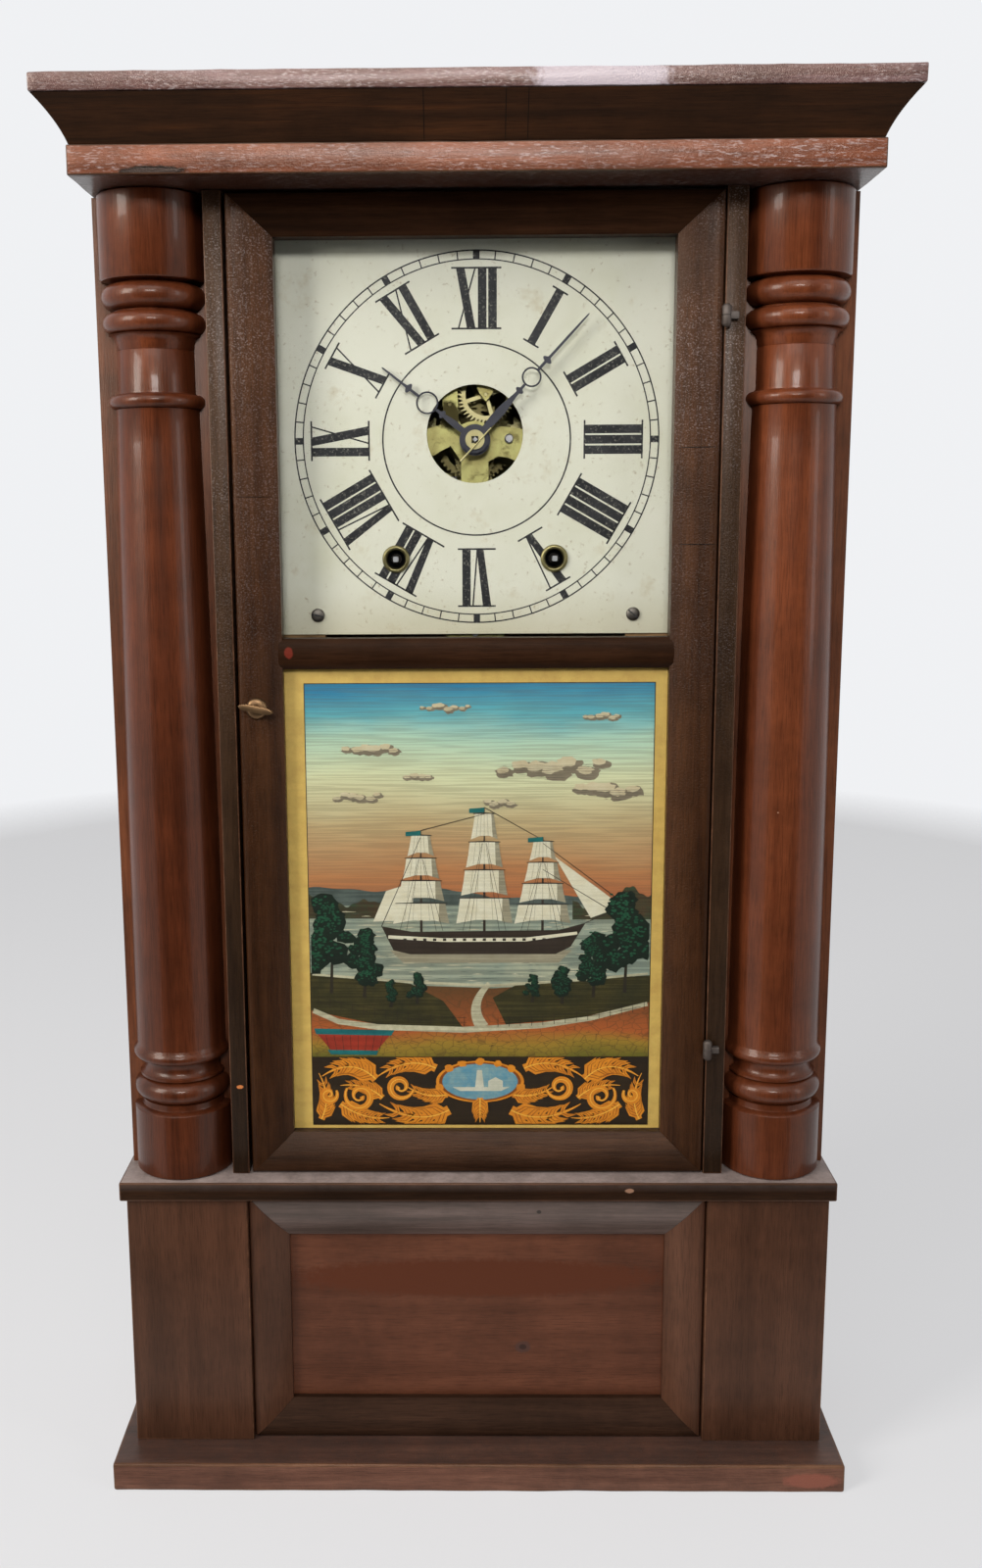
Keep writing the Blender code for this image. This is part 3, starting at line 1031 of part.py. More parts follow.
def cord_points(sign):
    """The cord's route: off the drum, over the pulley and down to the weight."""
    drum = Vector((WIND_X, CENTRE_Z - WIND_DROP))
    pulley = Vector((PULLEY_X, PULLEY_Z))
    run = pulley - drum
    lean = math.asin((PULLEY_CORD_R - DRUM_CORD_R) / run.length)
    side = math.atan2(run.y, run.x) + math.pi / 2 + lean
    points = []
    wrap, steps = math.radians(120), 6
    for step in range(steps + 1):
        angle = side + wrap * (1 - step / steps)
        points.append(drum + DRUM_CORD_R * Vector((math.cos(angle), math.sin(angle))))
    steps = 8
    for step in range(steps + 1):
        angle = side * (1 - step / steps)
        points.append(pulley + PULLEY_CORD_R * Vector((math.cos(angle), math.sin(angle))))
    weight_top = BASE_TOP + WEIGHT_CLEAR + WEIGHT_H + HOOK_H
    points.append(Vector((points[-1].x, weight_top + GAP)))
    depth = [CORD_Y] * (len(points) - 1) + [WEIGHT_Y]
    places = [Vector((sign * p.x, -y, p.y)) for p, y in zip(points, depth)]
    return places


def build_weights():
    """Pulleys, cords and iron weights of both trains."""
    for side, train, sign in (("right", "time", 1), ("left", "strike", -1)):
        floor_r = PULLEY_CORD_R - CORD_R - GAP
        axle, half, rim, groove = 12 * mm, 3 * mm, 2.2 * mm, 1.3 * mm
        profile = [(0, CORD_Y - axle), (ARBOR_R, CORD_Y - axle), (ARBOR_R, CORD_Y - half),
                   (PULLEY_R, CORD_Y - half), (PULLEY_R, CORD_Y - rim), (floor_r, CORD_Y - groove),
                   (floor_r, CORD_Y + groove), (PULLEY_R, CORD_Y + rim), (PULLEY_R, CORD_Y + half),
                   (ARBOR_R, CORD_Y + half), (ARBOR_R, CORD_Y + axle), (0, CORD_Y + axle)]
        wheel = turned_bm(profile, 18, (sign * PULLEY_X, 0, PULLEY_Z), along_y=True)
        finish(wheel, f"pulley_{side}", "brass", (sign * PULLEY_X, -CORD_Y, PULLEY_Z), smooth=35)
        tube(f"{train}_cord", cord_points(sign), CORD_R, "cord")
        x = sign * (PULLEY_X + PULLEY_CORD_R)
        z0 = BASE_TOP + WEIGHT_CLEAR
        top = z0 + WEIGHT_H
        profile = [(0, z0), (WEIGHT_R - 2 * mm, z0), (WEIGHT_R, z0 + 2 * mm), (WEIGHT_R, top - 4 * mm),
                   (WEIGHT_R - 4 * mm, top), (2 * mm, top), (2 * mm, top + HOOK_H), (0, top + HOOK_H)]
        weight = turned_bm(profile, 20, (x, -WEIGHT_Y, 0))
        finish(weight, f"{train}_weight", "iron", (x, -WEIGHT_Y, z0), smooth=35)


for thing in list(bpy.data.objects):
    bpy.data.objects.remove(thing)
MATERIALS = make_materials()
build_boards()
build_base()
build_cornice()
build_columns()
build_door()
build_dial()
build_plates()
build_going_and_striking_wheels()
build_hand_train()
build_hands()
build_drums()
build_escapement()
build_gong_and_hammer()
build_weights()
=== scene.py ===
"""Looks of the column and cornice shelf clock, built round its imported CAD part."""

import math
import random

import bmesh
import bpy
from mathutils import Matrix, Vector, noise


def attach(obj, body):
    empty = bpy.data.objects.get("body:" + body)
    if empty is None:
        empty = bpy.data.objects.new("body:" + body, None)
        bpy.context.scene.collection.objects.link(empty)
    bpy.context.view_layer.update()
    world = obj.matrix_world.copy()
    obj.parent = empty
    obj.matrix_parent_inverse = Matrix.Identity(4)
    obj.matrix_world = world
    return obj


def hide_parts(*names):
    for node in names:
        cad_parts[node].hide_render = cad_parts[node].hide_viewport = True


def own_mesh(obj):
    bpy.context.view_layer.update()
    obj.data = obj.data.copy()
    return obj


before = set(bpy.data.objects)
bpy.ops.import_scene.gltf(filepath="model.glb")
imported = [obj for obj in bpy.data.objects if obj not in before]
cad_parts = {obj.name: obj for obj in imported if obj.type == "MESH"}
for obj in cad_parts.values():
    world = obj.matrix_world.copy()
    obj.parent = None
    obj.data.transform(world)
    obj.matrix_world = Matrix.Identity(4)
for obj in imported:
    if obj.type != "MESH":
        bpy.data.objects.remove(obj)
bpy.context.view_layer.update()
mm = 0.001
SIDES = (("left", -1), ("right", 1))

# Places taken over from the CAD part, in millimetres as every shape below
CASE_HALF = 214.5
CASE_REAR, CASE_FACE, FACE_REAR = -10.3, -95, -83
BASE_TOP, BLOCK_TOP = 18.3, 179.7
BLOCK_REAR = -83.3
COLUMN_Z0, COLUMN_Z1, COLUMN_R = 192, 765.4, 30
CENTRE_Z = 632
WINDING_X, WINDING_Z = 46.4, CENTRE_Z - 68
DIAL_FRONT = 86
DOOR_FRONT, DOOR_REAR = 113, 95.3
DOOR_X, DOOR_Z0, DOOR_Z1 = 137.5, 192.5, 764.1
DOOR_SINK = 7
STILE_W, TOP_RAIL, BOTTOM_RAIL = 25.2, 22.5, 23.6
MID_RAIL_Z, MID_RAIL_HALF = 510.1, 8.9
GLASS_REAR, GLASS_FRONT = 101.3, 103.3


# Shaping


def clamp(value, low, high):
    return min(max(value, low), high)


def span(sign, inner, outer):
    """Both ends of a stretch on the right (sign 1) or the left (sign -1), the lower one first."""
    return sorted((sign * inner, sign * outer))


def bevelled(bm, width, segments=2, edges=None, worn=True):
    """Round off edges. Worn edges take the piece's second finish."""
    made = bmesh.ops.bevel(bm, geom=edges or bm.edges[:], offset=width, offset_type="OFFSET",
                           affect="EDGES", segments=segments, profile=0.5, material=-1, clamp_overlap=True)
    if worn:
        for face in made["faces"]:
            face.material_index = 1
    return bm


def plank(x0, x1, y0, y1, z0, z1, edge=0.6, segments=2, worn=True):
    """A board between two corners with softened edges."""
    bm = bmesh.new()
    bmesh.ops.create_cube(bm, size=1)
    bmesh.ops.scale(bm, vec=(x1 - x0, y1 - y0, z1 - z0), verts=bm.verts)
    bmesh.ops.translate(bm, vec=((x0 + x1) / 2, (y0 + y1) / 2, (z0 + z1) / 2), verts=bm.verts)
    if edge:
        bevelled(bm, edge, segments, worn=worn)
    return bm


def uneven_board(half, front, z0, z1, edge, segments, cuts, amount, size, seed):
    """A board from the case's back forwards, uneven by smooth noise but never past its own corners."""
    bm = plank(-half, half, -front, 0, z0, z1, edge, segments)
    long_edges = [item for item in bm.edges if item.calc_length() > 60]
    bmesh.ops.subdivide_edges(bm, edges=long_edges, cuts=cuts, use_grid_fill=True)
    for vert in bm.verts:
        x, y, z = vert.co + noise.noise_vector(vert.co / size + Vector((seed, 2 * seed, 0))) * amount
        vert.co = (clamp(x, -half, half), clamp(y, -front, 0), clamp(z, z0, z1))
    return bm


def swung(bm, degrees, place, axis="Y", verts=None):
    """Turn a shape about the origin, then carry it to its place."""
    turn = Matrix.Rotation(math.radians(degrees), 3, axis)
    bmesh.ops.rotate(bm, cent=(0, 0, 0), matrix=turn, verts=verts or bm.verts)
    bmesh.ops.translate(bm, vec=place, verts=verts or bm.verts)
    return bm


def turned(profile, steps, place=(0, 0, 0), lying=False):
    """A profile of (radius, height) points spun round its axis. Lying, the axis runs along Y."""
    bm = bmesh.new()
    points = [bm.verts.new((radius, 0, height)) for radius, height in profile]
    edges = [bm.edges.new(pair) for pair in zip(points, points[1:])]
    bmesh.ops.spin(bm, geom=points + edges, cent=(0, 0, 0), axis=(0, 0, 1), angle=math.tau,
                   steps=steps, use_merge=True)
    bmesh.ops.remove_doubles(bm, verts=bm.verts, dist=0.001)
    swung(bm, 90 if lying else 0, place, "X")
    bmesh.ops.recalc_face_normals(bm, faces=bm.faces)
    return bm


def pin(x, z, radius, front, rear, steps=24, soft=0.0):
    """A round rod along Y; front and rear are distances from the case's back."""
    profile = [(0, rear), (radius, rear), (radius, front - soft), (radius - soft, front), (0, front)]
    return turned(profile, steps, (x, 0, z), lying=True)


def closed_loop(bm, places):
    """Edges from point to point and back to the first."""
    points = [bm.verts.new(place) for place in places]
    return [bm.edges.new(pair) for pair in zip(points, points[1:] + points[:1])]


def cut_out(outline, holes, front, rear):
    """A flat piece with holes: outlines of (x, z) points, filled and given thickness."""
    bm = bmesh.new()
    edges = []
    for loop in [outline] + holes:
        edges += closed_loop(bm, [(x, -front, z) for x, z in loop])
    bmesh.ops.triangle_fill(bm, use_beauty=True, use_dissolve=False, edges=edges)
    grown = bmesh.ops.extrude_face_region(bm, geom=bm.faces[:])["geom"]
    moved = [item for item in grown if isinstance(item, bmesh.types.BMVert)]
    bmesh.ops.translate(bm, vec=(0, front - rear, 0), verts=moved)
    bmesh.ops.recalc_face_normals(bm, faces=bm.faces)
    return bm


def ellipse(x, z, across, up, steps, start=0.0):
    """Points round an ellipse."""
    angles = [start + math.tau * step / steps for step in range(steps)]
    return [(x + across * math.cos(angle), z + up * math.sin(angle)) for angle in angles]


def circle(x, z, radius, steps=48, start=0.0):
    return ellipse(x, z, radius, radius, steps, start)


def swept(section, stations):
    """Join copies of a section, one at each station, into a closed moulding."""
    bm = bmesh.new()
    rings = [closed_loop(bm, [station(*point) for point in section]) for station in stations]
    for ring, following in zip(rings, rings[1:]):
        bmesh.ops.bridge_loops(bm, edges=ring + following)
    for ring in (rings[0], rings[-1]):
        bmesh.ops.contextual_create(bm, geom=ring)
    bmesh.ops.recalc_face_normals(bm, faces=bm.faces)
    return bm


def face_front(bm):
    """Turn each face of a flat, painted shape to the front."""
    for face in bm.faces:
        face.normal_update()
        if face.normal.y > 0:
            face.normal_flip()


def joined(parts):
    """Several shapes as one."""
    together = bmesh.new()
    for bm in parts:
        spare = bpy.data.meshes.new("spare")
        bm.to_mesh(spare)
        bm.free()
        together.from_mesh(spare)
        bpy.data.meshes.remove(spare)
    return together


def new_object(name, data):
    """An object for a mesh, curve, lamp or camera, put into the scene."""
    made = bpy.data.objects.new(name, data)
    bpy.context.scene.collection.objects.link(made)
    return made


def add_piece(name, bm, finishes, body="case", instead_of=(), smooth=30):
    """Bring a shape from millimetres to metres, put it on its body and hide the CAD nodes it stands for."""
    mesh = bpy.data.meshes.new(name)
    bmesh.ops.scale(bm, vec=(mm, mm, mm), verts=bm.verts)
    bm.to_mesh(mesh)
    bm.free()
    for finish in finishes if isinstance(finishes, list) else [finishes]:
        mesh.materials.append(finish)
    if smooth:
        mesh.shade_smooth()
        mesh.set_sharp_from_angle(angle=math.radians(smooth))
    return belongs(new_object(name, mesh), body, instead_of)


def belongs(piece, body, instead_of):
    """Put a piece on the body it rides on and hide the CAD nodes it stands for."""
    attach(piece, body)
    if instead_of:
        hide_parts(*instead_of)
    return piece


def refinish(node, finish):
    """Give a CAD node its finish."""
    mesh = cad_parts[node].data
    mesh.materials.clear()
    mesh.materials.append(finish)


# Finishes


BLACK = (0.0, 0.0, 0.0)
ALONG = {"X": (0.045, 1, 1), "Y": (1, 0.045, 1), "Z": (1, 1, 0.045)}


def shade(colour, share):
    """A darker shade of a colour."""
    return tuple(part * share for part in colour)


class Nodes:
    """Shader nodes in one tree."""

    def __init__(self, tree):
        self.tree = tree

    def add(self, kind, inputs=None, **settings):
        """A node with its settings; an input takes a value, or a link from another node's socket."""
        node = self.tree.nodes.new("ShaderNode" + kind)
        for key, value in settings.items():
            setattr(node, key, value)
        for key, value in (inputs or {}).items():
            socket = node.inputs[key]
            if isinstance(value, bpy.types.NodeSocket):
                self.tree.links.new(value, socket)
            else:
                socket.default_value = value
        return node

    def math(self, operation, a, b=0.5, c=0.5):
        return self.add("Math", {0: a, 1: b, 2: c}, operation=operation).outputs[0]

    def vector(self, operation, a, b=(0, 0, 0), output="Vector"):
        return self.add("VectorMath", {0: a, 1: b}, operation=operation).outputs[output]

    def share(self, value, low, high):
        """How far a value has come from low to high, from 0 to 1."""
        return self.add("MapRange", {"Value": value, "From Min": low, "From Max": high}).outputs["Result"]

    def seen(self):
        """1 for rays from the camera, straight or by way of gloss or glass, and 0 for the light's own."""
        rays = self.add("LightPath").outputs
        shown = self.math("MAXIMUM", rays["Is Camera Ray"], rays["Is Glossy Ray"])
        return self.math("MAXIMUM", shown, rays["Is Transmission Ray"])


class Finish(Nodes):
    """A procedural material on one Principled shader."""

    def __init__(self, name, colour, roughness=0.5, metallic=0.0, coat=0.0, coat_roughness=0.1, specular=0.5):
        self.material = bpy.data.materials.new(name)
        self.material.use_nodes = True
        super().__init__(self.material.node_tree)
        self.shader = self.tree.nodes["Principled BSDF"]
        for socket, value in (("Base Color", (*colour, 1)), ("Roughness", roughness), ("Metallic", metallic),
                              ("Coat Weight", coat), ("Coat Roughness", coat_roughness),
                              ("Specular IOR Level", specular)):
            self.shader.inputs[socket].default_value = value
        self.place = self.add("TexCoord").outputs["Object"]
        self.bumps = None

    def stretched(self, scale):
        return self.add("Mapping", {"Vector": self.place, "Scale": scale}).outputs["Vector"]

    def noise(self, scale, place=None, detail=4.0, roughness=0.55, distortion=0.0):
        return self.add("TexNoise", {"Vector": place or self.place, "Scale": scale, "Detail": detail,
                                     "Roughness": roughness, "Distortion": distortion}).outputs["Fac"]

    def ramp(self, factor, stops):
        """Colours or greys at their stops along a factor."""
        node = self.add("ValToRGB", {"Fac": factor})
        marks = node.color_ramp.elements
        while len(marks) < len(stops):
            marks.new(0.5)
        for mark, (at, colour) in zip(marks, stops):
            mark.position = at
            mark.color = (*colour, 1) if isinstance(colour, tuple) else (colour, colour, colour, 1)
        return node.outputs["Color"]

    def mix(self, factor, a, b, how="MIX"):
        a, b = ((*part, 1) if isinstance(part, tuple) else part for part in (a, b))
        return self.add("Mix", {0: factor, 6: a, 7: b}, data_type="RGBA", blend_type=how).outputs[2]

    def blotch(self, colour, factor, paint, bare, full, most):
        """Lay paint over a colour: none where the factor is at bare, most where it is at full."""
        return self.mix(self.ramp(factor, sorted([(bare, 0.0), (full, most)])), colour, paint)

    def mark(self, colour, place, reach, paint, ragged=0.5):
        """Lay an uneven mark of paint over a colour, within reach (x, y, z) of a place in millimetres."""
        shift = self.vector("SUBTRACT", self.place, Vector(place) * mm)
        away = self.vector("LENGTH", self.vector("DIVIDE", shift, Vector(reach) * mm), output="Value")
        away = self.math("MULTIPLY_ADD", self.noise(350, detail=3), ragged, away)
        return self.mix(self.share(away, 1 + ragged / 2, 0.75 + ragged / 2), colour, paint)

    def height(self, low, high, drift=None):
        """How far a place is from one height to another, in millimetres; a drift is in metres."""
        level = self.add("SeparateXYZ", {"Vector": self.place}).outputs["Z"]
        if drift is not None:
            level = self.math("ADD", level, drift)
        return self.share(level, low * mm, high * mm)

    def facing(self, way):
        """How far the surface faces up (way 1) or down (way -1), from 0 to 1."""
        normal = self.add("NewGeometry").outputs["Normal"]
        part = self.add("SeparateXYZ", {"Vector": normal}).outputs["Z"]
        return self.math("MAXIMUM", self.math("MULTIPLY", part, way), 0.0)

    def colour(self, socket):
        self.tree.links.new(socket, self.shader.inputs["Base Color"])

    def rough(self, factor, low, high):
        node = self.add("MapRange", {"Value": factor, "To Min": low, "To Max": high})
        self.tree.links.new(node.outputs["Result"], self.shader.inputs["Roughness"])

    def bump(self, height, depth, strength=1.0):
        """Relief of a depth in millimetres, over any bumps before it."""
        inputs = {"Height": height, "Distance": depth * mm, "Strength": strength}
        if self.bumps:
            inputs["Normal"] = self.bumps
        self.bumps = self.add("Bump", inputs).outputs["Normal"]
        self.tree.links.new(self.bumps, self.shader.inputs["Normal"])

    def show(self, surface):
        """Put another surface in the shader's place."""
        self.tree.links.new(surface.outputs[0], self.tree.nodes["Material Output"].inputs["Surface"])


def wood(name, dark, mid, light, along="Z", rough=(0.34, 0.48), coat=0.05, coat_roughness=0.2, specular=0.25,
         waves=0.0, crackle=0.0, grain=650, dust=0.0, dust_colour=(0.45, 0.3625, 0.3), figure=14, painted_glints=0.0,
         painted_shade_below=0.0, under=0.0, marks=()):
    """Varnished wood with its grain along one axis; it can take painted shade below and on undersides, and
    painted glints.
    """
    finish = Finish(name, mid, rough[0], coat=coat, coat_roughness=coat_roughness, specular=specular)
    finish.shader.inputs["Specular Tint"].default_value = (1.0, 0.82, 0.68, 1)
    run = finish.stretched(ALONG[along])
    streaks = finish.noise(figure * 10, run, detail=8, roughness=0.62, distortion=0.4)
    pores = finish.noise(1500, run, detail=3)
    clouds = finish.noise(figure, run, detail=3, distortion=0.8)
    blend = finish.math("MULTIPLY_ADD", streaks, 0.55, finish.math("MULTIPLY", clouds, 0.45))
    colour = finish.ramp(blend, [(0.36, dark), (0.5, mid), (0.64, light)])
    colour = finish.mix(0.55, colour, finish.ramp(pores, [(0.36, 0.45), (0.5, 1.0)]), "MULTIPLY")
    grime = finish.noise(17, detail=5, roughness=0.7)
    colour = finish.blotch(colour, grime, shade(dark, 0.45), 0.42, 0.72, 0.55)
    if dust:
        top = finish.math("MULTIPLY", finish.facing(1), finish.noise(60, detail=6, roughness=0.8))
        colour = finish.mix(finish.math("MULTIPLY", top, dust), colour, dust_colour)
    # Painted shade on faces that look down, darkened towards black by the given share.
    if under:
        colour = finish.mix(finish.math("MULTIPLY", finish.facing(-1), under), colour, BLACK)
    # Painted shade: darken towards black from 680 mm down to 240 mm, by the given share.
    if painted_shade_below:
        colour = finish.mix(finish.math("MULTIPLY", finish.height(680, 240), painted_shade_below), colour, BLACK)
    # Painted glints: pale specks of highlight mixed into the colour, only from 440 mm upwards, drawn out along
    # the grain on level boards.
    if painted_glints:
        run = finish.stretched((0.3, 1, 1.3) if along == "X" else (0.8, 1, 1))
        painted_sparks = finish.ramp(finish.noise(grain * 1.8, run, detail=2), [(0.53, 0.0), (0.70, painted_glints)])
        where = finish.ramp(finish.noise(24, detail=4), [(0.36, 0.2), (0.62, 1.0)])
        painted_sparks = finish.math("MULTIPLY", finish.math("MULTIPLY", painted_sparks, where), finish.height(440, 680))
        colour = finish.mix(painted_sparks, colour, (0.7, 0.6125, 0.6))
    for place, reach, paint in marks:
        colour = finish.mark(colour, place, reach, paint)
    finish.colour(colour)
    finish.rough(finish.noise(45, detail=5, roughness=0.7), *rough)
    finish.bump(pores, 0.12)
    finish.bump(finish.noise(30, detail=2), 0.6 + waves, 0.25)
    if crackle:
        finish.bump(finish.noise(grain, finish.stretched((1, 1, 1.4)), detail=3, roughness=0.65), crackle)
    return finish.material


JOINT = (0.005, 0.0025, 0.0013)
PINE = ((0.2, 0.1063, 0.0438), (0.3375, 0.1938, 0.0875), (0.45, 0.275, 0.1375))

MAHOGANY_WORN = wood(
    "mahogany, worn edge", (0.05, 0.0213, 0.01), (0.1, 0.0425, 0.0213), (0.175, 0.0813, 0.0425), "X",
    rough=(0.35, 0.5))
SIDE_WOOD = wood("side mahogany", (0.05, 0.0163, 0.0075), (0.1125, 0.0338, 0.0137), (0.1875, 0.06, 0.0238))
# The column mahogany takes painted shade towards the bottom.
COLUMN_WOOD = wood(
    "column mahogany", (0.0625, 0.0144, 0.005), (0.1313, 0.0319, 0.0112), (0.2, 0.0525, 0.0187),
    rough=(0.26, 0.38), coat=0.175, coat_roughness=0.1, waves=0.2, crackle=0.03, figure=9, painted_shade_below=0.36,
    marks=[((-177, -123, 546), (2.4, 4, 1.6), (0.425, 0.2125, 0.125)),
           ((-188, -122, 477), (2.2, 4, 2.4), (0.0375, 0.02, 0.015)),
           ((175, -122, 418), (0.9, 4, 0.9), (0.375, 0.2, 0.125))])
# Painted shade on the underside and painted glints along the front.
ARCHITRAVE_WOOD = wood(
    "architrave mahogany", (0.1, 0.0275, 0.0125), (0.2188, 0.0663, 0.0312), (0.3125, 0.1063, 0.055), "X",
    rough=(0.24, 0.36), coat=0.1, specular=0.4, crackle=0.3, grain=520, figure=20, painted_glints=0.4, under=0.75,
    marks=[((-169, -147, 767), (21.5, 4, 3.6), (0.0075, 0.005, 0.0037)),
           ((-169, -147.6, 767.4), (17.5, 4, 1.5), (0.0475, 0.0325, 0.0275))])
# Painted glints, and a broad pale painted reflection on the front edge to the right of the middle.
CORNICE_WOOD = wood(
    "cornice mahogany", (0.0625, 0.0287, 0.025), (0.15, 0.0775, 0.0688), (0.275, 0.175, 0.175), "X",
    rough=(0.24, 0.36), coat=0.15, specular=0.525, crackle=0.3, grain=560, dust=0.3, painted_glints=0.5,
    marks=[((64, -162, 808), (38, 4, 20), (0.475, 0.4125, 0.45))])
# A far darker copy of the cornice mahogany: painted shade for the cove, which faces down under the top board.
CROWN_WOOD = wood(
    "crown mahogany", (0.0137, 0.0056, 0.0025), (0.0338, 0.0131, 0.0052), (0.0825, 0.0275, 0.0088), "X",
    rough=(0.45, 0.55), coat=0.0, specular=0.125,
    marks=[((x, -156, 792), (0.3, 20, 30), (0.0037, 0.0025, 0.0013)) for x in (-26.7, 15.6, 27.2)])
# Painted shade towards the bottom and painted glints on the upper parts.
DOOR_STILE_WOOD = wood(
    "door stile mahogany", (0.0175, 0.0065, 0.0025), (0.0488, 0.0178, 0.0065), (0.085, 0.0331, 0.0125),
    rough=(0.26, 0.38), specular=0.1875, crackle=0.3, painted_glints=0.2, painted_shade_below=0.3,
    marks=[((x, -112, z), (13, 9, thick), JOINT) for x, z, thick in ((125, 626, 0.4), (125, 572, 0.4),
                                                                     (-125, 600, 0.3))])
# About half as bright as the stiles' mahogany: painted shade of the architrave's shadow on the top rail; the
# middle rail takes the same colour.
DOOR_RAIL_WOOD = wood(
    "door rail mahogany", (0.0112, 0.0045, 0.002), (0.0275, 0.011, 0.0047), (0.045, 0.0181, 0.008), "X",
    crackle=0.08, specular=0.0625, coat=0.0,
    marks=[((-108.5, -107, 511), (3.0, 4, 3.6), (0.1375, 0.0213, 0.0125))])
DOOR_LOW_WOOD = wood(
    "door low mahogany", (0.02, 0.0083, 0.004), (0.05, 0.0213, 0.01), (0.0825, 0.0375, 0.0187), "X",
    crackle=0.08, specular=0.15, coat=0.0)
# A darker copy of the case's mahogany: painted shade for the strips recessed between column and door, with
# painted shade towards the bottom and painted glints.
STRIP_WOOD = wood(
    "strip mahogany", (0.02, 0.01, 0.005), (0.05, 0.025, 0.0123), (0.08, 0.0413, 0.0213),
    rough=(0.28, 0.42), specular=0.15, crackle=0.24, painted_glints=0.2, painted_shade_below=0.6,
    marks=[((-143.5, -113, 248), (2.2, 3, 1.4), (0.575, 0.1875, 0.0562))])
PANEL_WOOD = wood(
    "panel mahogany", (0.0725, 0.0231, 0.0106), (0.1075, 0.0363, 0.0181), (0.1438, 0.05, 0.025), "X",
    figure=7,
    marks=[((0, -104, 118), (130, 9, 14), (0.0775, 0.0194, 0.0069)),
           ((29, -104, 71), (5.5, 4, 4.5), (0.0625, 0.0275, 0.02)),
           ((29, -104, 71), (2.6, 4, 2.0), (0.0275, 0.0125, 0.01))])
BLOCK_WOOD = wood(
    "block mahogany", (0.048, 0.0195, 0.0102), (0.079, 0.032, 0.017), (0.108, 0.045, 0.0245), figure=6,
    marks=[((x, -133, 26), (52, 9, 3.6), (0.0112, 0.0044, 0.0022)) for x in (-168, 168)])
SHELF_WOOD = wood(
    "shelf mahogany", (0.0125, 0.0052, 0.0022), (0.03, 0.0125, 0.0055), (0.0525, 0.0225, 0.01), "X",
    dust=1.15, dust_colour=(0.41, 0.33, 0.30), specular=0.1, coat=0.0,
    marks=[((92, -126, 187), (3.2, 3, 1.6), (0.275, 0.15, 0.0938))])
# A pale, glossy copy of the moulding's mahogany with painted sheen, for the panel moulding's top rail.
FRAME_TOP_PAINTED_SHEEN = wood(
    "frame top mahogany, painted sheen", (0.0625, 0.0425, 0.035), (0.125, 0.085, 0.0725), (0.1875, 0.1375, 0.125), "X",
    rough=(0.28, 0.4), coat=0.25, specular=0.5,
    marks=[((38, -116, 169), (1.7, 8, 1.5), (0.01, 0.0063, 0.005))])
# A dark copy of the same mahogany with painted shade, for the moulding's bottom rail.
FRAME_LOW_PAINTED_SHADE = wood(
    "frame low mahogany, painted shade", (0.0125, 0.0056, 0.0031), (0.0275, 0.0123, 0.0068), (0.045, 0.0206, 0.0115), "X",
    specular=0.0625, coat=0.0, rough=(0.5, 0.6))
# Its upward faces are darkened in blotches, nearly to black.
BASE_WOOD = wood(
    "base mahogany", (0.05, 0.0194, 0.0119), (0.11, 0.045, 0.0281), (0.175, 0.0775, 0.0488), "X",
    dust=1.1, dust_colour=(0.0375, 0.0275, 0.0238), crackle=0.1,
    marks=[((203, -146, 8), (19, 5, 5.5), (0.1875, 0.0625, 0.04)),
           ((-224, -146, 23.5), (6.5, 7, 1.6), (0.375, 0.1875, 0.0875))])
PINE_UPRIGHT = wood("old pine", *PINE, rough=(0.6, 0.75), coat=0.0, figure=20)
PINE_LEVEL = wood("old pine, grain level", *PINE, "X", rough=(0.6, 0.75), coat=0.0, figure=20)


def brushed(finish, depth=0.03):
    """Fine upright scratches."""
    finish.bump(finish.noise(2500, finish.stretched((1, 1, 0.1)), detail=2), depth, 0.4)


def aged_metal(name, colour, stain, rough=(0.25, 0.45), scratch=0.03, metallic=1.0):
    """Metal with brushed marks and stains."""
    finish = Finish(name, colour, rough[0], metallic=metallic)
    patches = finish.noise(60, detail=6, roughness=0.6)
    finish.colour(finish.blotch(colour, patches, stain, 0.42, 0.7, 0.8))
    finish.rough(finish.noise(300, detail=4), *rough)
    brushed(finish, scratch)
    return finish.material


BRASS = aged_metal("aged brass", (0.50, 0.45, 0.18), (0.30, 0.26, 0.10), rough=(0.32, 0.46))
WHEEL_BRASS = aged_metal("wheel brass", (0.56, 0.50, 0.26), (0.40, 0.34, 0.15), rough=(0.3, 0.42))
# A darker copy of the wheel brass: painted shade for the back plate and the wheels that lie in shade behind
# the dial.
SHADED_BRASS = aged_metal("brass, painted shade", (0.20, 0.17, 0.075), (0.10, 0.080, 0.035), rough=(0.4, 0.55))
RING_BRASS = aged_metal("ring brass", (0.30, 0.26, 0.12), (0.11, 0.095, 0.045), rough=(0.3, 0.45))
BRONZE = aged_metal("brown bronze", (0.21, 0.125, 0.062), (0.088, 0.052, 0.03), rough=(0.35, 0.5))
STEEL = aged_metal("bright steel", (0.55, 0.55, 0.56), (0.25, 0.22, 0.20))
BLUED = aged_metal("old blued steel", (0.036, 0.036, 0.052), (0.020, 0.020, 0.030), rough=(0.4, 0.55),
                   metallic=0.1)
SCREW_STEEL = aged_metal("screw steel", (0.20, 0.18, 0.16), (0.10, 0.085, 0.07), rough=(0.4, 0.55))
IRON = aged_metal("dark iron", (0.125, 0.106, 0.094), (0.056, 0.038, 0.028), rough=(0.5, 0.75), scratch=0.1)


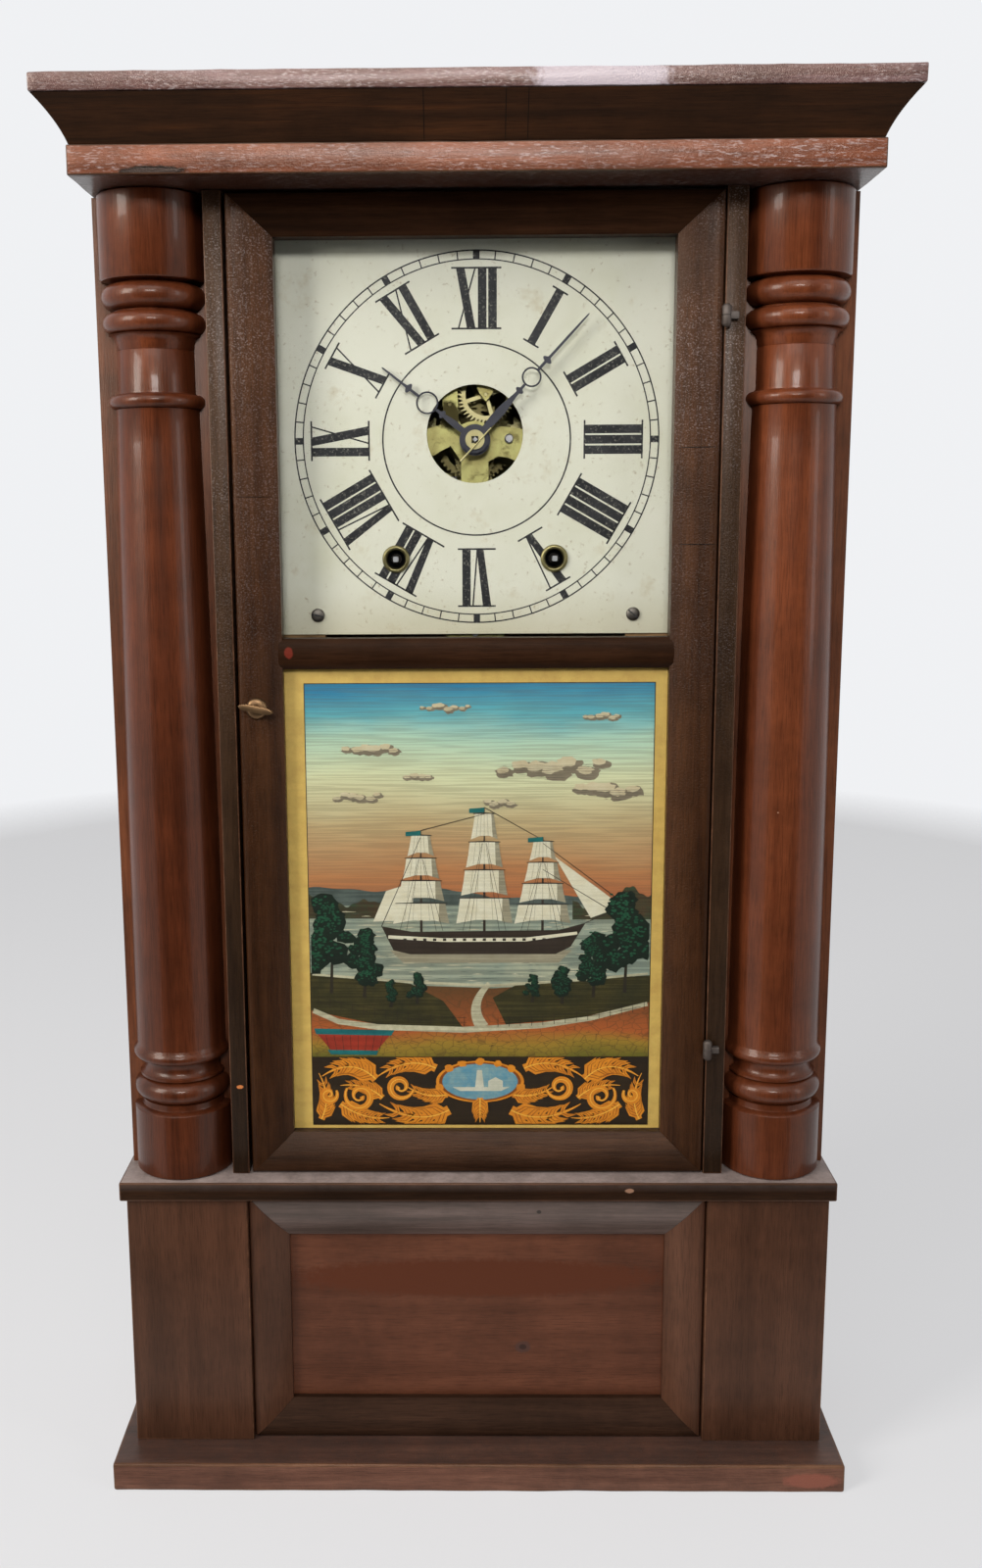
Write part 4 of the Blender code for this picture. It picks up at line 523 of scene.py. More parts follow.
def plate_brass():
    """Plate brass with painted shade: black round the two winding arbors and a dark patch at the upper left.
    """
    finish = Finish("plate brass", (0.46, 0.43, 0.17), 0.4, metallic=1.0)
    colour = finish.blotch((0.48, 0.45, 0.18), finish.noise(70, detail=5), (0.26, 0.21, 0.08), 0.42, 0.7, 0.8)
    spots = finish.noise(190, detail=5, distortion=0.8)
    colour = finish.blotch(colour, spots, (0.13, 0.10, 0.035), 0.50, 0.68, 0.7)
    # Painted shade: a dark patch on the plate's upper left.
    colour = finish.mark(colour, (-15.5, -85, 646.5), (9, 9, 10), (0.05, 0.042, 0.016))
    # Painted shade: near-black round each winding arbor, so the winding holes look dark inside.
    for _, sign in SIDES:
        place = (sign * WINDING_X, -82, WINDING_Z)
        colour = finish.mark(colour, place, (9, 9, 9), (0.004, 0.004, 0.004), 0.1)
    finish.colour(colour)
    finish.rough(finish.noise(300, detail=4), 0.34, 0.5)
    brushed(finish)
    return finish.material


def drum_iron():
    """Oily dark drums whose winding squares are rubbed bright."""
    finish = Finish("drum iron", (0.03, 0.027, 0.024), 0.5, metallic=1.0)
    oil = finish.noise(200, detail=5)
    colour = finish.ramp(oil, [(0.4, (0.035, 0.031, 0.027)), (0.6, (0.016, 0.014, 0.012))])
    for _, sign in SIDES:
        place = (sign * WINDING_X, -92, WINDING_Z)
        colour = finish.mark(colour, place, (2.2, 8, 2.2), (0.42, 0.42, 0.43), 0.1)
    finish.colour(colour)
    finish.rough(finish.noise(300, detail=4), 0.38, 0.55)
    finish.bump(finish.noise(1500, detail=2), 0.03, 0.4)
    return finish.material


def dial_cream():
    """Old cream paint with specks, stains and a browner foot."""
    finish = Finish("dial cream", (0.80, 0.78, 0.64), 0.5, coat=0.05, coat_roughness=0.3, specular=0.3)
    broad = finish.noise(14, detail=4, roughness=0.6)
    colour = finish.ramp(broad, [(0.35, (0.74, 0.73, 0.57)), (0.5, (0.80, 0.79, 0.65)),
                                 (0.65, (0.83, 0.82, 0.69))])
    specks = finish.noise(380, detail=4, roughness=0.65)
    colour = finish.blotch(colour, specks, (0.42, 0.33, 0.20), 0.62, 0.70, 0.6)
    stain = finish.noise(38, detail=5, roughness=0.75)
    colour = finish.blotch(colour, stain, (0.56, 0.45, 0.26), 0.58, 0.76, 0.55)
    colour = finish.mix(finish.math("MULTIPLY", finish.height(548, 520), 0.45), colour, (0.52, 0.44, 0.25))
    finish.colour(colour)
    finish.rough(broad, 0.42, 0.58)
    finish.bump(finish.noise(90, detail=4), 0.15, 0.4)
    return finish.material


def dial_black():
    """Black numeral paint, worn through in spots."""
    finish = Finish("dial black", (0.018, 0.018, 0.020), 0.5, specular=0.25)
    wear = finish.noise(750, detail=5, roughness=0.75)
    colour = finish.blotch((0.018, 0.018, 0.020), wear, (0.40, 0.38, 0.32), 0.56, 0.66, 0.75)
    clouds = finish.noise(60, detail=4)
    finish.colour(finish.blotch(colour, clouds, (0.08, 0.08, 0.085), 0.4, 0.7, 0.3))
    return finish.material


def clear_glass(name, tint):
    """Window glass: mostly see-through, with a reflection that grows at a slant."""
    finish = Finish(name, tint, 0.02)
    through = finish.add("BsdfTransparent", {"Color": (*tint, 1)})
    gloss = finish.add("BsdfGlossy", {"Color": (1, 1, 1, 1), "Roughness": 0.03})
    slant = finish.add("Fresnel", {"IOR": 1.36}).outputs[0]
    outside = finish.math("SUBTRACT", 1.0, finish.add("NewGeometry").outputs["Backfacing"])
    slant = finish.math("MULTIPLY", slant, outside)
    finish.show(finish.add("MixShader", {0: slant, 1: through.outputs[0], 2: gloss.outputs[0]}))
    return finish.material


DIAL_CREAM = dial_cream()
DIAL_BLACK = dial_black()
GLASS = clear_glass("window glass", (0.94, 0.945, 0.94))


def engraved(name, light, dark, lines=900, strength=0.35, size=60, gloss=0.35):
    """Printed colour with fine level lines and mottling."""
    finish = Finish(name, light, gloss, coat=0.15, coat_roughness=0.1)
    mottle = finish.noise(size, detail=6, roughness=0.7)
    colour = finish.blotch(light, mottle, dark, 0.35, 0.7, 1.0)
    rules = finish.noise(lines, finish.stretched((0.02, 1, 1)), detail=1)
    finish.colour(finish.blotch(colour, rules, shade(dark, 0.35), 0.58, 0.45, strength))
    finish.rough(mottle, gloss, gloss + 0.15)
    return finish.material


def painted_sky():
    """A sky that falls from blue through cream to orange."""
    finish = Finish("painted sky", (0.6, 0.5, 0.35), 0.35, coat=0.15)
    haze = finish.noise(30, finish.stretched((0.3, 1, 1)), detail=6)
    drift = finish.math("MULTIPLY_ADD", haze, 0.03, -0.015)
    colour = finish.ramp(finish.height(362, 492, drift), [
        (0.0, (0.50, 0.17, 0.065)), (0.14, (0.54, 0.24, 0.095)), (0.34, (0.60, 0.44, 0.22)),
        (0.56, (0.76, 0.78, 0.48)), (0.74, (0.52, 0.74, 0.56)), (0.87, (0.14, 0.48, 0.54)),
        (1.0, (0.035, 0.24, 0.42))])
    rules = finish.noise(1100, finish.stretched((0.02, 1, 1)), detail=1)
    finish.colour(finish.blotch(colour, rules, (0.14, 0.11, 0.07), 0.56, 0.44, 0.26))
    return finish.material


def painted_street():
    """Ground that goes from olive in front through red-brown to shade at the back."""
    finish = Finish("painted street", (0.3, 0.15, 0.05), 0.4, coat=0.15)
    soil = finish.noise(28, finish.stretched((0.5, 1, 1)), detail=5)
    drift = finish.math("MULTIPLY_ADD", soil, 0.02, -0.01)
    colour = finish.ramp(finish.height(262, 312, drift), [
        (0.0, (0.16, 0.14, 0.020)), (0.16, (0.36, 0.22, 0.030)), (0.34, (0.44, 0.115, 0.030)),
        (0.6, (0.26, 0.08, 0.025)), (1.0, (0.09, 0.055, 0.020))])
    place = finish.stretched((0.6, 1, 1))
    cracks = finish.add("TexVoronoi", {"Vector": place, "Scale": 260}, feature="DISTANCE_TO_EDGE")
    finish.colour(finish.blotch(colour, cracks.outputs["Distance"], (0.09, 0.05, 0.02), 0.06, 0.0, 0.6))
    return finish.material


# The case


def build_base():
    """Base board, blocks, framed panel and shelf."""
    board = uneven_board(223.5, 146, 0, 18, 1.6, 3, cuts=40, amount=0.35, size=22, seed=3)
    add_piece("base_slab", board, [BASE_WOOD, MAHOGANY_WORN], instead_of=["base_board"])
    for side, sign in SIDES:
        block = plank(*span(sign, 140, 213.5), -122, BLOCK_REAR, BASE_TOP, BLOCK_TOP, 0.7)
        add_piece(f"base_pier_{side}", block, [BLOCK_WOOD, MAHOGANY_WORN], instead_of=[f"base_block_{side}"])
    shelf = plank(-217, 217, -126, BLOCK_REAR, 180, 191.7, 1, 3)
    add_piece("shelf_board", shelf, [SHELF_WOOD, MAHOGANY_WORN], instead_of=["waist_shelf"])
    half = 139.7
    panel = plank(-half, half, -104, BLOCK_REAR, BASE_TOP, BLOCK_TOP, 0)
    add_piece("base_panel_board", panel, PANEL_WOOD, instead_of=["base_panel"])
    widths = {"left": 23.2, "right": 23.2, "top": 30, "bottom": 20}
    rails = mitred_frame(half, BASE_TOP, BLOCK_TOP, widths, 119, 104.3, 11)
    # The moulding's top rail takes the copy with painted sheen and its bottom rail the copy with painted
    # shade.
    finishes = {"left": BLOCK_WOOD, "right": BLOCK_WOOD, "top": FRAME_TOP_PAINTED_SHEEN, "bottom": FRAME_LOW_PAINTED_SHADE}
    for side, rail in rails.items():
        add_piece(f"panel_moulding_{side}", rail, [finishes[side], MAHOGANY_WORN],
                  instead_of=["base_panel_frame"] if side == "left" else ())


def rail_section(width, front, rear, sink):
    """Section of a moulding: flat by its outer edge, then falling in a curve towards the opening."""
    edge = 2.5
    points = [(0, rear), (0, front - edge), (edge * 0.12, front - edge * 0.5),
              (edge * 0.45, front - edge * 0.14), (edge, front)]
    steps = 14
    for step in range(1, steps + 1):
        share = step / steps
        points.append((edge + (width - edge) * share, front - sink * share ** 1.6))
    return points + [(width, rear)]


def mitred_frame(x, z0, z1, widths, front, rear, sink):
    """The four rails of a mitred frame, each a shape of its own."""
    corners = {"left": ((-x, z0, 1, 1, "bottom"), (-x, z1, 1, -1, "top")),
               "right": ((x, z1, -1, -1, "top"), (x, z0, -1, 1, "bottom")),
               "bottom": ((x, z0, -1, 1, "right"), (-x, z0, 1, 1, "left")),
               "top": ((-x, z1, 1, -1, "left"), (x, z1, -1, -1, "right"))}
    rails = {}
    for side, ends in corners.items():
        section = rail_section(widths[side], front, rear, sink)
        rails[side] = swept(section, [mitre_station(side, end, widths[side], widths[end[4]]) for end in ends])
    return rails


def mitre_station(side, end, width, other_width):
    """Place a section point on the mitre between this rail and the next."""
    cx, cz, sx, sz, _ = end
    hair = 0.06

    def place(out, depth):
        across = out * other_width / width
        if side in ("left", "right"):
            return (cx + sx * out, -depth, cz + sz * (across + hair))
        return (cx + sx * (across + hair), -depth, cz + sz * out)
    return place


def build_carcase():
    """Sides, stiles, back and top."""
    height = (COLUMN_Z0, COLUMN_Z1)
    for side, sign in SIDES:
        board = plank(*span(sign, 202.5, CASE_HALF), -82.7, CASE_REAR, BASE_TOP, COLUMN_Z1, 0.4)
        add_piece(f"side_board_{side}", board, [SIDE_WOOD, MAHOGANY_WORN], instead_of=[f"side_{side}"])
        stile = plank(*span(sign, 130.2, CASE_HALF), CASE_FACE + 0.3, FACE_REAR, *height, 0.3)
        face = plank(*span(sign, 151.2, CASE_HALF), CASE_FACE, CASE_FACE + 1, *height, 0.2)
        strip = plank(*span(sign, 139.2 if side == "left" else 137.9, 149.5), -DOOR_FRONT, -94.5, *height)
        add_piece(f"front_stile_{side}", joined([stile, face]), [SIDE_WOOD, MAHOGANY_WORN],
                  instead_of=[f"stile_{side}"])
        add_piece(f"door_strip_{side}", strip, [STRIP_WOOD, MAHOGANY_WORN])
    refinish("backboard", PINE_UPRIGHT)
    for node in ("case_top", "dial_rail_left", "dial_rail_right"):
        refinish(node, PINE_LEVEL)


def build_cornice():
    """Architrave, coved crown and top board."""
    half, front = 214, 148
    board = uneven_board(half, front, 765.7, 780.9, 0.8, 2, cuts=30, amount=0.25, size=18, seed=5)
    add_piece("architrave_board", board, [ARCHITRAVE_WOOD, MAHOGANY_WORN], instead_of=["architrave"])
    z0, z1, over, inset, wall, steps = 781.2, 802.9, 13.5, 1.2, 16, 20
    section = []
    for step in range(steps + 1):
        share = step / steps
        section.append((-inset + (over + inset) * (0.55 * share + 0.45 * share ** 2), z0 + (z1 - z0) * share))
    section += [(-wall, z1), (-wall, z0)]

    def station(sign, at_back):
        return lambda out, z: (sign * (half + out), -0.3 if at_back else -(front + out), z)
    crown = swept(section, [station(-1, True), station(-1, False), station(1, False), station(1, True)])
    add_piece("crown_cove", crown, CROWN_WOOD, instead_of=["crown_moulding"], smooth=25)
    top = uneven_board(228.5, 162.5, 803.2, 812.7, 1, 2, cuts=50, amount=0.4, size=14, seed=9)
    add_piece("cornice_board", top, [CORNICE_WOOD, CORNICE_WOOD], instead_of=["cornice_top"])


def bead(z, radius, thick, steps=12):
    """Section of a half-round bead; the radius is its widest point."""
    half = thick / 2
    angles = [math.pi * step / steps for step in range(steps + 1)]
    return [(radius - half + half * math.sin(angle), z - half * math.cos(angle)) for angle in angles]


def shifted(points, radius, height):
    """A run of section points, moved out and up."""
    return [(radius + out, height + up) for out, up in points]


def column_section():
    """Foot, tapering shaft, ring, neck, two beads and head block, from the floor of the column up."""
    z0, z1, r = COLUMN_Z0, COLUMN_Z1, COLUMN_R
    foot = [(0, z0)] + shifted([(-0.8, 0), (0, 0.8), (0, 40.2), (-0.7, 41), (-4.4, 41.8), (-4.8, 43),
                                (-4.8, 45.4)], r, z0)
    foot += bead(z0 + 53, r - 0.5, 14)
    foot += shifted([(-5.4, 60.2), (-4.0, 60.8), (-4.0, 62.2), (-4.7, 62.7), (-6.2, 64.2), (-6.8, 66.4),
                     (-6.6, 68.6), (-5.6, 70.8)], r, z0)
    foot += bead(z0 + 75.4, r - 0.5, 7.8)[1:-3]
    foot += shifted([(-1.9, 78.9), (-2.5, 80.2)], r, z0)
    low, high = z0 + 80.6, z1 - 117
    rises = [step / 20 for step in range(21)]
    shaft = [(r - 2.6 - 3.4 * rise ** 2.2, low + (high - low) * rise) for rise in rises]
    ring = [(24.3, z1 - 116.2)] + bead(z1 - 112, 27.6, 7.8, 10) + [(22.6, z1 - 107.6)]
    neck = shifted([(22.3, -106), (22.2, -84.2), (21.9, -83.8), (22.2, -83.4), (22.6, -80), (23.5, -77.2),
                    (25.2, -75.6), (26.3, -75.2)], 0, z1)
    beads = bead(z1 - 69, 29.3, 11.8) + [(23.6, z1 - 62.6)]
    beads += bead(z1 - 54.7, 29.6, 14.2) + [(22.8, z1 - 47.2), (25.5, z1 - 46.6)]
    head = shifted([(-0.8, -46.2), (0, -45.2), (0, -0.8), (-0.8, 0)], r, z1) + [(0, z1)]
    return foot + shaft + ring + neck + beads + head


def build_columns():
    """Half columns: turned whole, then cut to a flat back."""
    for side, sign in SIDES:
        bm = turned(column_section(), 96, (sign * 181.5, -92.8, 0))
        everything = bm.verts[:] + bm.edges[:] + bm.faces[:]
        cut = bmesh.ops.bisect_plane(bm, geom=everything, plane_co=(0, -95.3, 0), plane_no=(0, 1, 0),
                                     clear_outer=True)["geom_cut"]
        bmesh.ops.holes_fill(bm, edges=[item for item in cut if isinstance(item, bmesh.types.BMEdge)])
        add_piece(f"half_column_{side}", bm, COLUMN_WOOD,
                  instead_of=[f"column_{side}"], smooth=40)


# The door


def build_door():
    """Mitred frame, middle rail, two panes and the latch."""
    widths = {"left": STILE_W, "right": STILE_W, "top": TOP_RAIL, "bottom": BOTTOM_RAIL}
    rails = mitred_frame(DOOR_X, DOOR_Z0, DOOR_Z1, widths, DOOR_FRONT, DOOR_REAR, DOOR_SINK)
    for side, rail in rails.items():
        finish = {"top": DOOR_RAIL_WOOD, "bottom": DOOR_LOW_WOOD}.get(side, DOOR_STILE_WOOD)
        add_piece(f"door_rail_{side}", rail, [finish, MAHOGANY_WORN], "door",
                  instead_of=["door_frame"] if side == "left" else ())
    half, front = MID_RAIL_HALF, DOOR_FRONT - DOOR_SINK
    rise = [(-1, -1), (-0.8, 0.6), (-0.5, 1.3), (0, 1.5), (0.5, 1.3), (0.8, 0.6), (1, -1)]
    section = [(-half, DOOR_REAR)] + [(half * share, front + up) for share, up in rise] + [(half, DOOR_REAR)]
    inner = DOOR_X - STILE_W
    ends = [lambda up, depth, x=x: (x, -depth, MID_RAIL_Z + up) for x in (-inner - 2, inner + 2)]
    add_piece("door_middle_rail", swept(section, ends), DOOR_RAIL_WOOD, "door")
    for name, node, slot, low, high in (("dial_pane", "dial_glass", "glass", 516, 744.6),
                                        ("tablet_pane", "tablet_glass", "tablet_glass", 213.1, 504.2)):
        pane = plank(-inner - 3, inner + 3, -GLASS_FRONT, -GLASS_REAR, low, high, 0)
        add_piece(name, pane, GLASS, "door", instead_of=[node], smooth=0)
    build_latch()


def build_latch():
    """Plate and turn latch on the door's left stile, with the stem and hook behind it."""
    x, z, front = -127, 479.5, DOOR_FRONT + 0.3
    section = shifted([(2.4, -2), (5, -2), (5, 0), (6.2, 0), (6.2, 0.8), (5.6, 1.8), (4.4, 2.5), (2.4, 2.5),
                       (2.4, -2)], 0, front)
    ring = turned(section, 40, (x, 0, z), lying=True)
    add_piece("latch_rosette", ring, BRONZE, "door", instead_of=["latch_plate"], smooth=40)
    outline = []
    for step in range(40):
        angle = math.tau * step / 40
        outline.append((10 * math.cos(angle), 1.9 * (1 + 0.35 * abs(math.cos(angle))) * math.sin(angle)))
    lever = cut_out(outline, [], front + 5.8, front + 2.8)
    bevelled(lever, 0.5, 2, [edge for edge in lever.edges if edge.calc_face_angle(0) > 1], worn=False)
    swung(lever, 11.6, (x, 0, z))
    stem = pin(x, z, 2.2, front + 4, 80.6)
    hook = plank(x - 2.4, x + 2.4, -82.4, -80.4, z - 3, z + 7, 0.4, worn=False)
    add_piece("latch_lever", joined([lever, stem, hook]), BRONZE, "latch",
              instead_of=["turn_latch"], smooth=40)


def build_hinges():
    """Small pin hinges at the door's right edge."""
    x, y = DOOR_X + 0.85, -(DOOR_FRONT + 2.9)
    barrel = [(0, -6), (1.6, -6), (2.2, -5.4), (2.6, -4.6), (2.6, -0.2), (2.3, 0), (2.6, 0.2), (2.6, 4.6),
              (2.2, 5.4), (1.6, 6), (0, 6)]
    for node, z in (("hinge_lower", 272.2), ("hinge_upper", 696.7)):
        tail = plank(x + 0.5, 145.2, y - 0.7, -(DOOR_FRONT + 0.3), z - 2, z + 2, 0.4, worn=False)
        add_piece(f"pin_{node}", joined([turned(barrel, 32, (x, y, z)), tail]), IRON, "case",
                  instead_of=[node], smooth=40)


# The painted tablet


class Painting:
    """Flat painted shapes behind the lower glass, gathered by colour; a new colour lies over the last."""

    def __init__(self, left, right):
        self.shapes = {}
        self.depth = 100.2
        self.last = None
        self.count = 0
        self.left, self.right = left + 0.6, right - 0.6
        self.low, self.high = 219, 491.5

    def surface(self, finish):
        """The shape of a colour, and the depth of its next stroke: neighbours never lie in one plane."""
        if finish != self.last:
            self.depth += 0.008
            self.last = finish
        self.count += 1
        return self.shapes.setdefault(finish, bmesh.new()), -(self.depth + 0.0007 * (self.count % 11))

    def lay(self, finish, outline):
        """A filled outline."""
        bm, depth = self.surface(finish)
        rim = closed_loop(bm, [(x, depth, z) for x, z in outline])
        made = bmesh.ops.edgeloop_fill(bm, edges=rim)["faces"]
        bmesh.ops.triangulate(bm, faces=made)

    def block(self, finish, left, right, low, high):
        """A filled rectangle."""
        self.lay(finish, [(left, low), (right, low), (right, high), (left, high)])

    def stroke(self, finish, points, widths):
        """A brush stroke along points, with its width at each, held inside the picture."""
        bm, depth = self.surface(finish)
        sides = ([], [])
        for index, (x, z) in enumerate(points):
            before = points[max(index - 1, 0)]
            after = points[min(index + 1, len(points) - 1)]
            run = Vector((after[0] - before[0], after[1] - before[1])).normalized()
            for side, half in zip(sides, (widths[index] / 2, -widths[index] / 2)):
                side.append(bm.verts.new((clamp(x - run.y * half, self.left, self.right), depth,
                                          clamp(z + run.x * half, self.low, self.high))))
        rims = [bm.edges.new(pair) for side in sides for pair in zip(side, side[1:])]
        bmesh.ops.bridge_loops(bm, edges=rims)

    def line(self, finish, start, end, wide, thin):
        """A straight stroke with its widths at both ends."""
        self.stroke(finish, [start, end], [wide, thin])

    def dab(self, finish, x, z, width, height, points=9):
        """A small uneven blot."""
        outline = []
        for step in range(points):
            angle = math.tau * step / points
            puff = random.uniform(0.72, 1.12)
            outline.append((clamp(x + width * puff * math.cos(angle), self.left, self.right),
                            z + height * puff * math.sin(angle)))
        self.lay(finish, outline)

    def hatch(self, finish, puffs, low, high, spacing, thick):
        """Level engraved lines inside a group of round puffs."""
        z = low
        while z < high:
            rows = [(x, math.sqrt(r * r - ((z - cz) * 1.5) ** 2))
                    for x, cz, r in puffs if abs(z - cz) * 1.5 < r]
            for start, end in sorted((x - half, x + half) for x, half in rows):
                start, end = start + random.uniform(0, 1.2), end - random.uniform(0, 1.2)
                if end - start > 1:
                    middle = ((start + end) / 2, z + random.uniform(-0.25, 0.25))
                    self.stroke(finish, [(start, z), middle, (end, z)], [0.08, thick, 0.08])
            z += spacing

    def hang(self):
        """Make each colour a piece on the door."""
        for index, (finish, bm) in enumerate(self.shapes.items()):
            face_front(bm)
            add_piece(f"tablet_paint_{index}", bm, finish, "door", smooth=0)


def bent(start, bend, end, steps=12):
    """Points on a curve that leaves start towards bend and arrives at end."""
    points = []
    for step in range(steps + 1):
        t = step / steps
        points.append(tuple((1 - t) ** 2 * a + 2 * t * (1 - t) * b + t * t * c
                            for a, b, c in zip(start, bend, end)))
    return points


def spiral(x, z, radius, turns, start, hand, steps):
    """Points that wind in towards a centre, to a seventh of the radius."""
    points = []
    for step in range(steps + 1):
        share = step / steps
        reach = radius * (1 - 0.86 * share)
        angle = start + hand * math.tau * turns * share
        points.append((x + reach * math.cos(angle), z + reach * math.sin(angle)))
    return points


def build_tablet():
    """A made-up harbour at sunset over a band of leaf scrolls, inside a gilt border."""
    random.seed(11)
    left, right, low, high = -100.5, 105.0, 218.5, 492.0
    gold = engraved("tablet gilt", (0.80, 0.55, 0.145), (0.64, 0.40, 0.10), lines=200, strength=0.08, size=90,
                    gloss=0.4)
    black = engraved("tablet black", (0.02, 0.018, 0.015), (0.012, 0.01, 0.008), strength=0)
    paint = Painting(left, right)
    paint.block(gold, -115, 115, 213.5, 504)
    paint.block(black, left - 0.5, right + 0.5, low - 0.5, high + 0.5)
    paint.block(painted_sky(), left, right, 340, high)
    clouds(paint)
    bay(paint, left, right)
    ship(paint)
    shore(paint, left, right)
    scroll_band(paint, left, right, low)
    paint.hang()


def clouds(paint):
    """Flat cream clouds, grey below and hatched."""
    grey = engraved("cloud grey", (0.30, 0.25, 0.17), (0.22, 0.18, 0.12), strength=0.2)
    cream = engraved("cloud cream", (0.74, 0.66, 0.44), (0.62, 0.50, 0.30), strength=0.1)
    line = engraved("cloud line", (0.10, 0.08, 0.055), (0.07, 0.055, 0.04), strength=0.0)
    for x, z, size, count in ((-62, 452, 5.5, 6), (-18, 477, 3.6, 8), (46, 441, 9.0, 7), (78, 427, 7.5, 5),
                              (74, 472, 3.6, 6), (-70, 424, 4.4, 6), (14, 420, 4.0, 4), (-34, 436, 3.6, 4)):
        puffs = []
        for index in range(count):
            away = index - (count - 1) / 2
            puffs.append((x + away * size * 1.05 + random.uniform(-1, 1),
                          z + random.uniform(-0.25, 0.5) * size, size * (1.15 - 0.16 * abs(away))))
        for cx, cz, r in puffs:
            paint.dab(grey, cx + r * 0.1, cz - r * 0.1, r * 1.0, r * 0.55, 18)
        for cx, cz, r in puffs:
            paint.dab(cream, cx - r * 0.12, cz + r * 0.16, r * 0.74, r * 0.36, 16)
        paint.hatch(line, puffs, z - size * 0.7, z + size * 0.25, 1.05, 0.24)


def ridge(left, right, base, height, seed):
    """A hill line between two edges, closed along its base."""
    top, steps = [], 60
    for step in range(steps + 1):
        share = step / steps
        swell = math.sin(share * 5.1 + seed) + 0.5 * math.sin(share * 17 + 2 * seed)
        swell += 0.15 * math.sin(share * 53 + seed)
        top.append((left + (right - left) * share, base + height * (0.6 + 0.35 * swell)))
    return [(left, base - 6), (right, base - 6)] + top[::-1]


def bay(paint, left, right):
    """Far and near hills round rippled water."""
    far = engraved("far hills", (0.12, 0.15, 0.13), (0.06, 0.08, 0.07), strength=0.4)
    near = engraved("near hills", (0.035, 0.070, 0.035), (0.10, 0.045, 0.02), strength=0.5, size=40)
    water = engraved("bay water", (0.46, 0.47, 0.33), (0.24, 0.32, 0.27), lines=500, strength=0.5, size=25)
    gleam = engraved("water gleam", (0.76, 0.70, 0.50), (0.66, 0.56, 0.36), strength=0.1)
    ripple = engraved("water ripple", (0.10, 0.13, 0.11), (0.06, 0.08, 0.07), strength=0.1)
    paint.lay(far, ridge(left, right, 360, 9, 0.7))
    paint.block(water, left, right, 296, 358)
    paint.lay(near, ridge(left, -44, 356, 12, 2.2))
    paint.lay(near, ridge(58, right, 355, 13, 4.0))
    for finish, thick in ((gleam, 0.5), (ripple, 0.28)):
        for row in range(40):
            z = 354 - row * 1.4
            for _ in range(4):
                x = random.uniform(left + 4, right - 18)
                reach = random.uniform(3, 14)
                paint.stroke(finish, [(x, z), (x + reach / 2, z + 0.2), (x + reach, z)], [0.08, thick, 0.08])


MASTS = ((-33, 404), (5, 418), (40, 400))
DECK = 346


def sails():
    """For each of a mast's four sails: x, the heights of its foot and head, and the half widths there."""
    for x, top in MASTS:
        rise = top - DECK
        for tier in range(4):
            foot = DECK + rise * (0.01 + 0.24 * tier)
            yield x, foot, foot + rise * 0.215, 17.0 - 3.0 * tier, 14.6 - 3.0 * tier


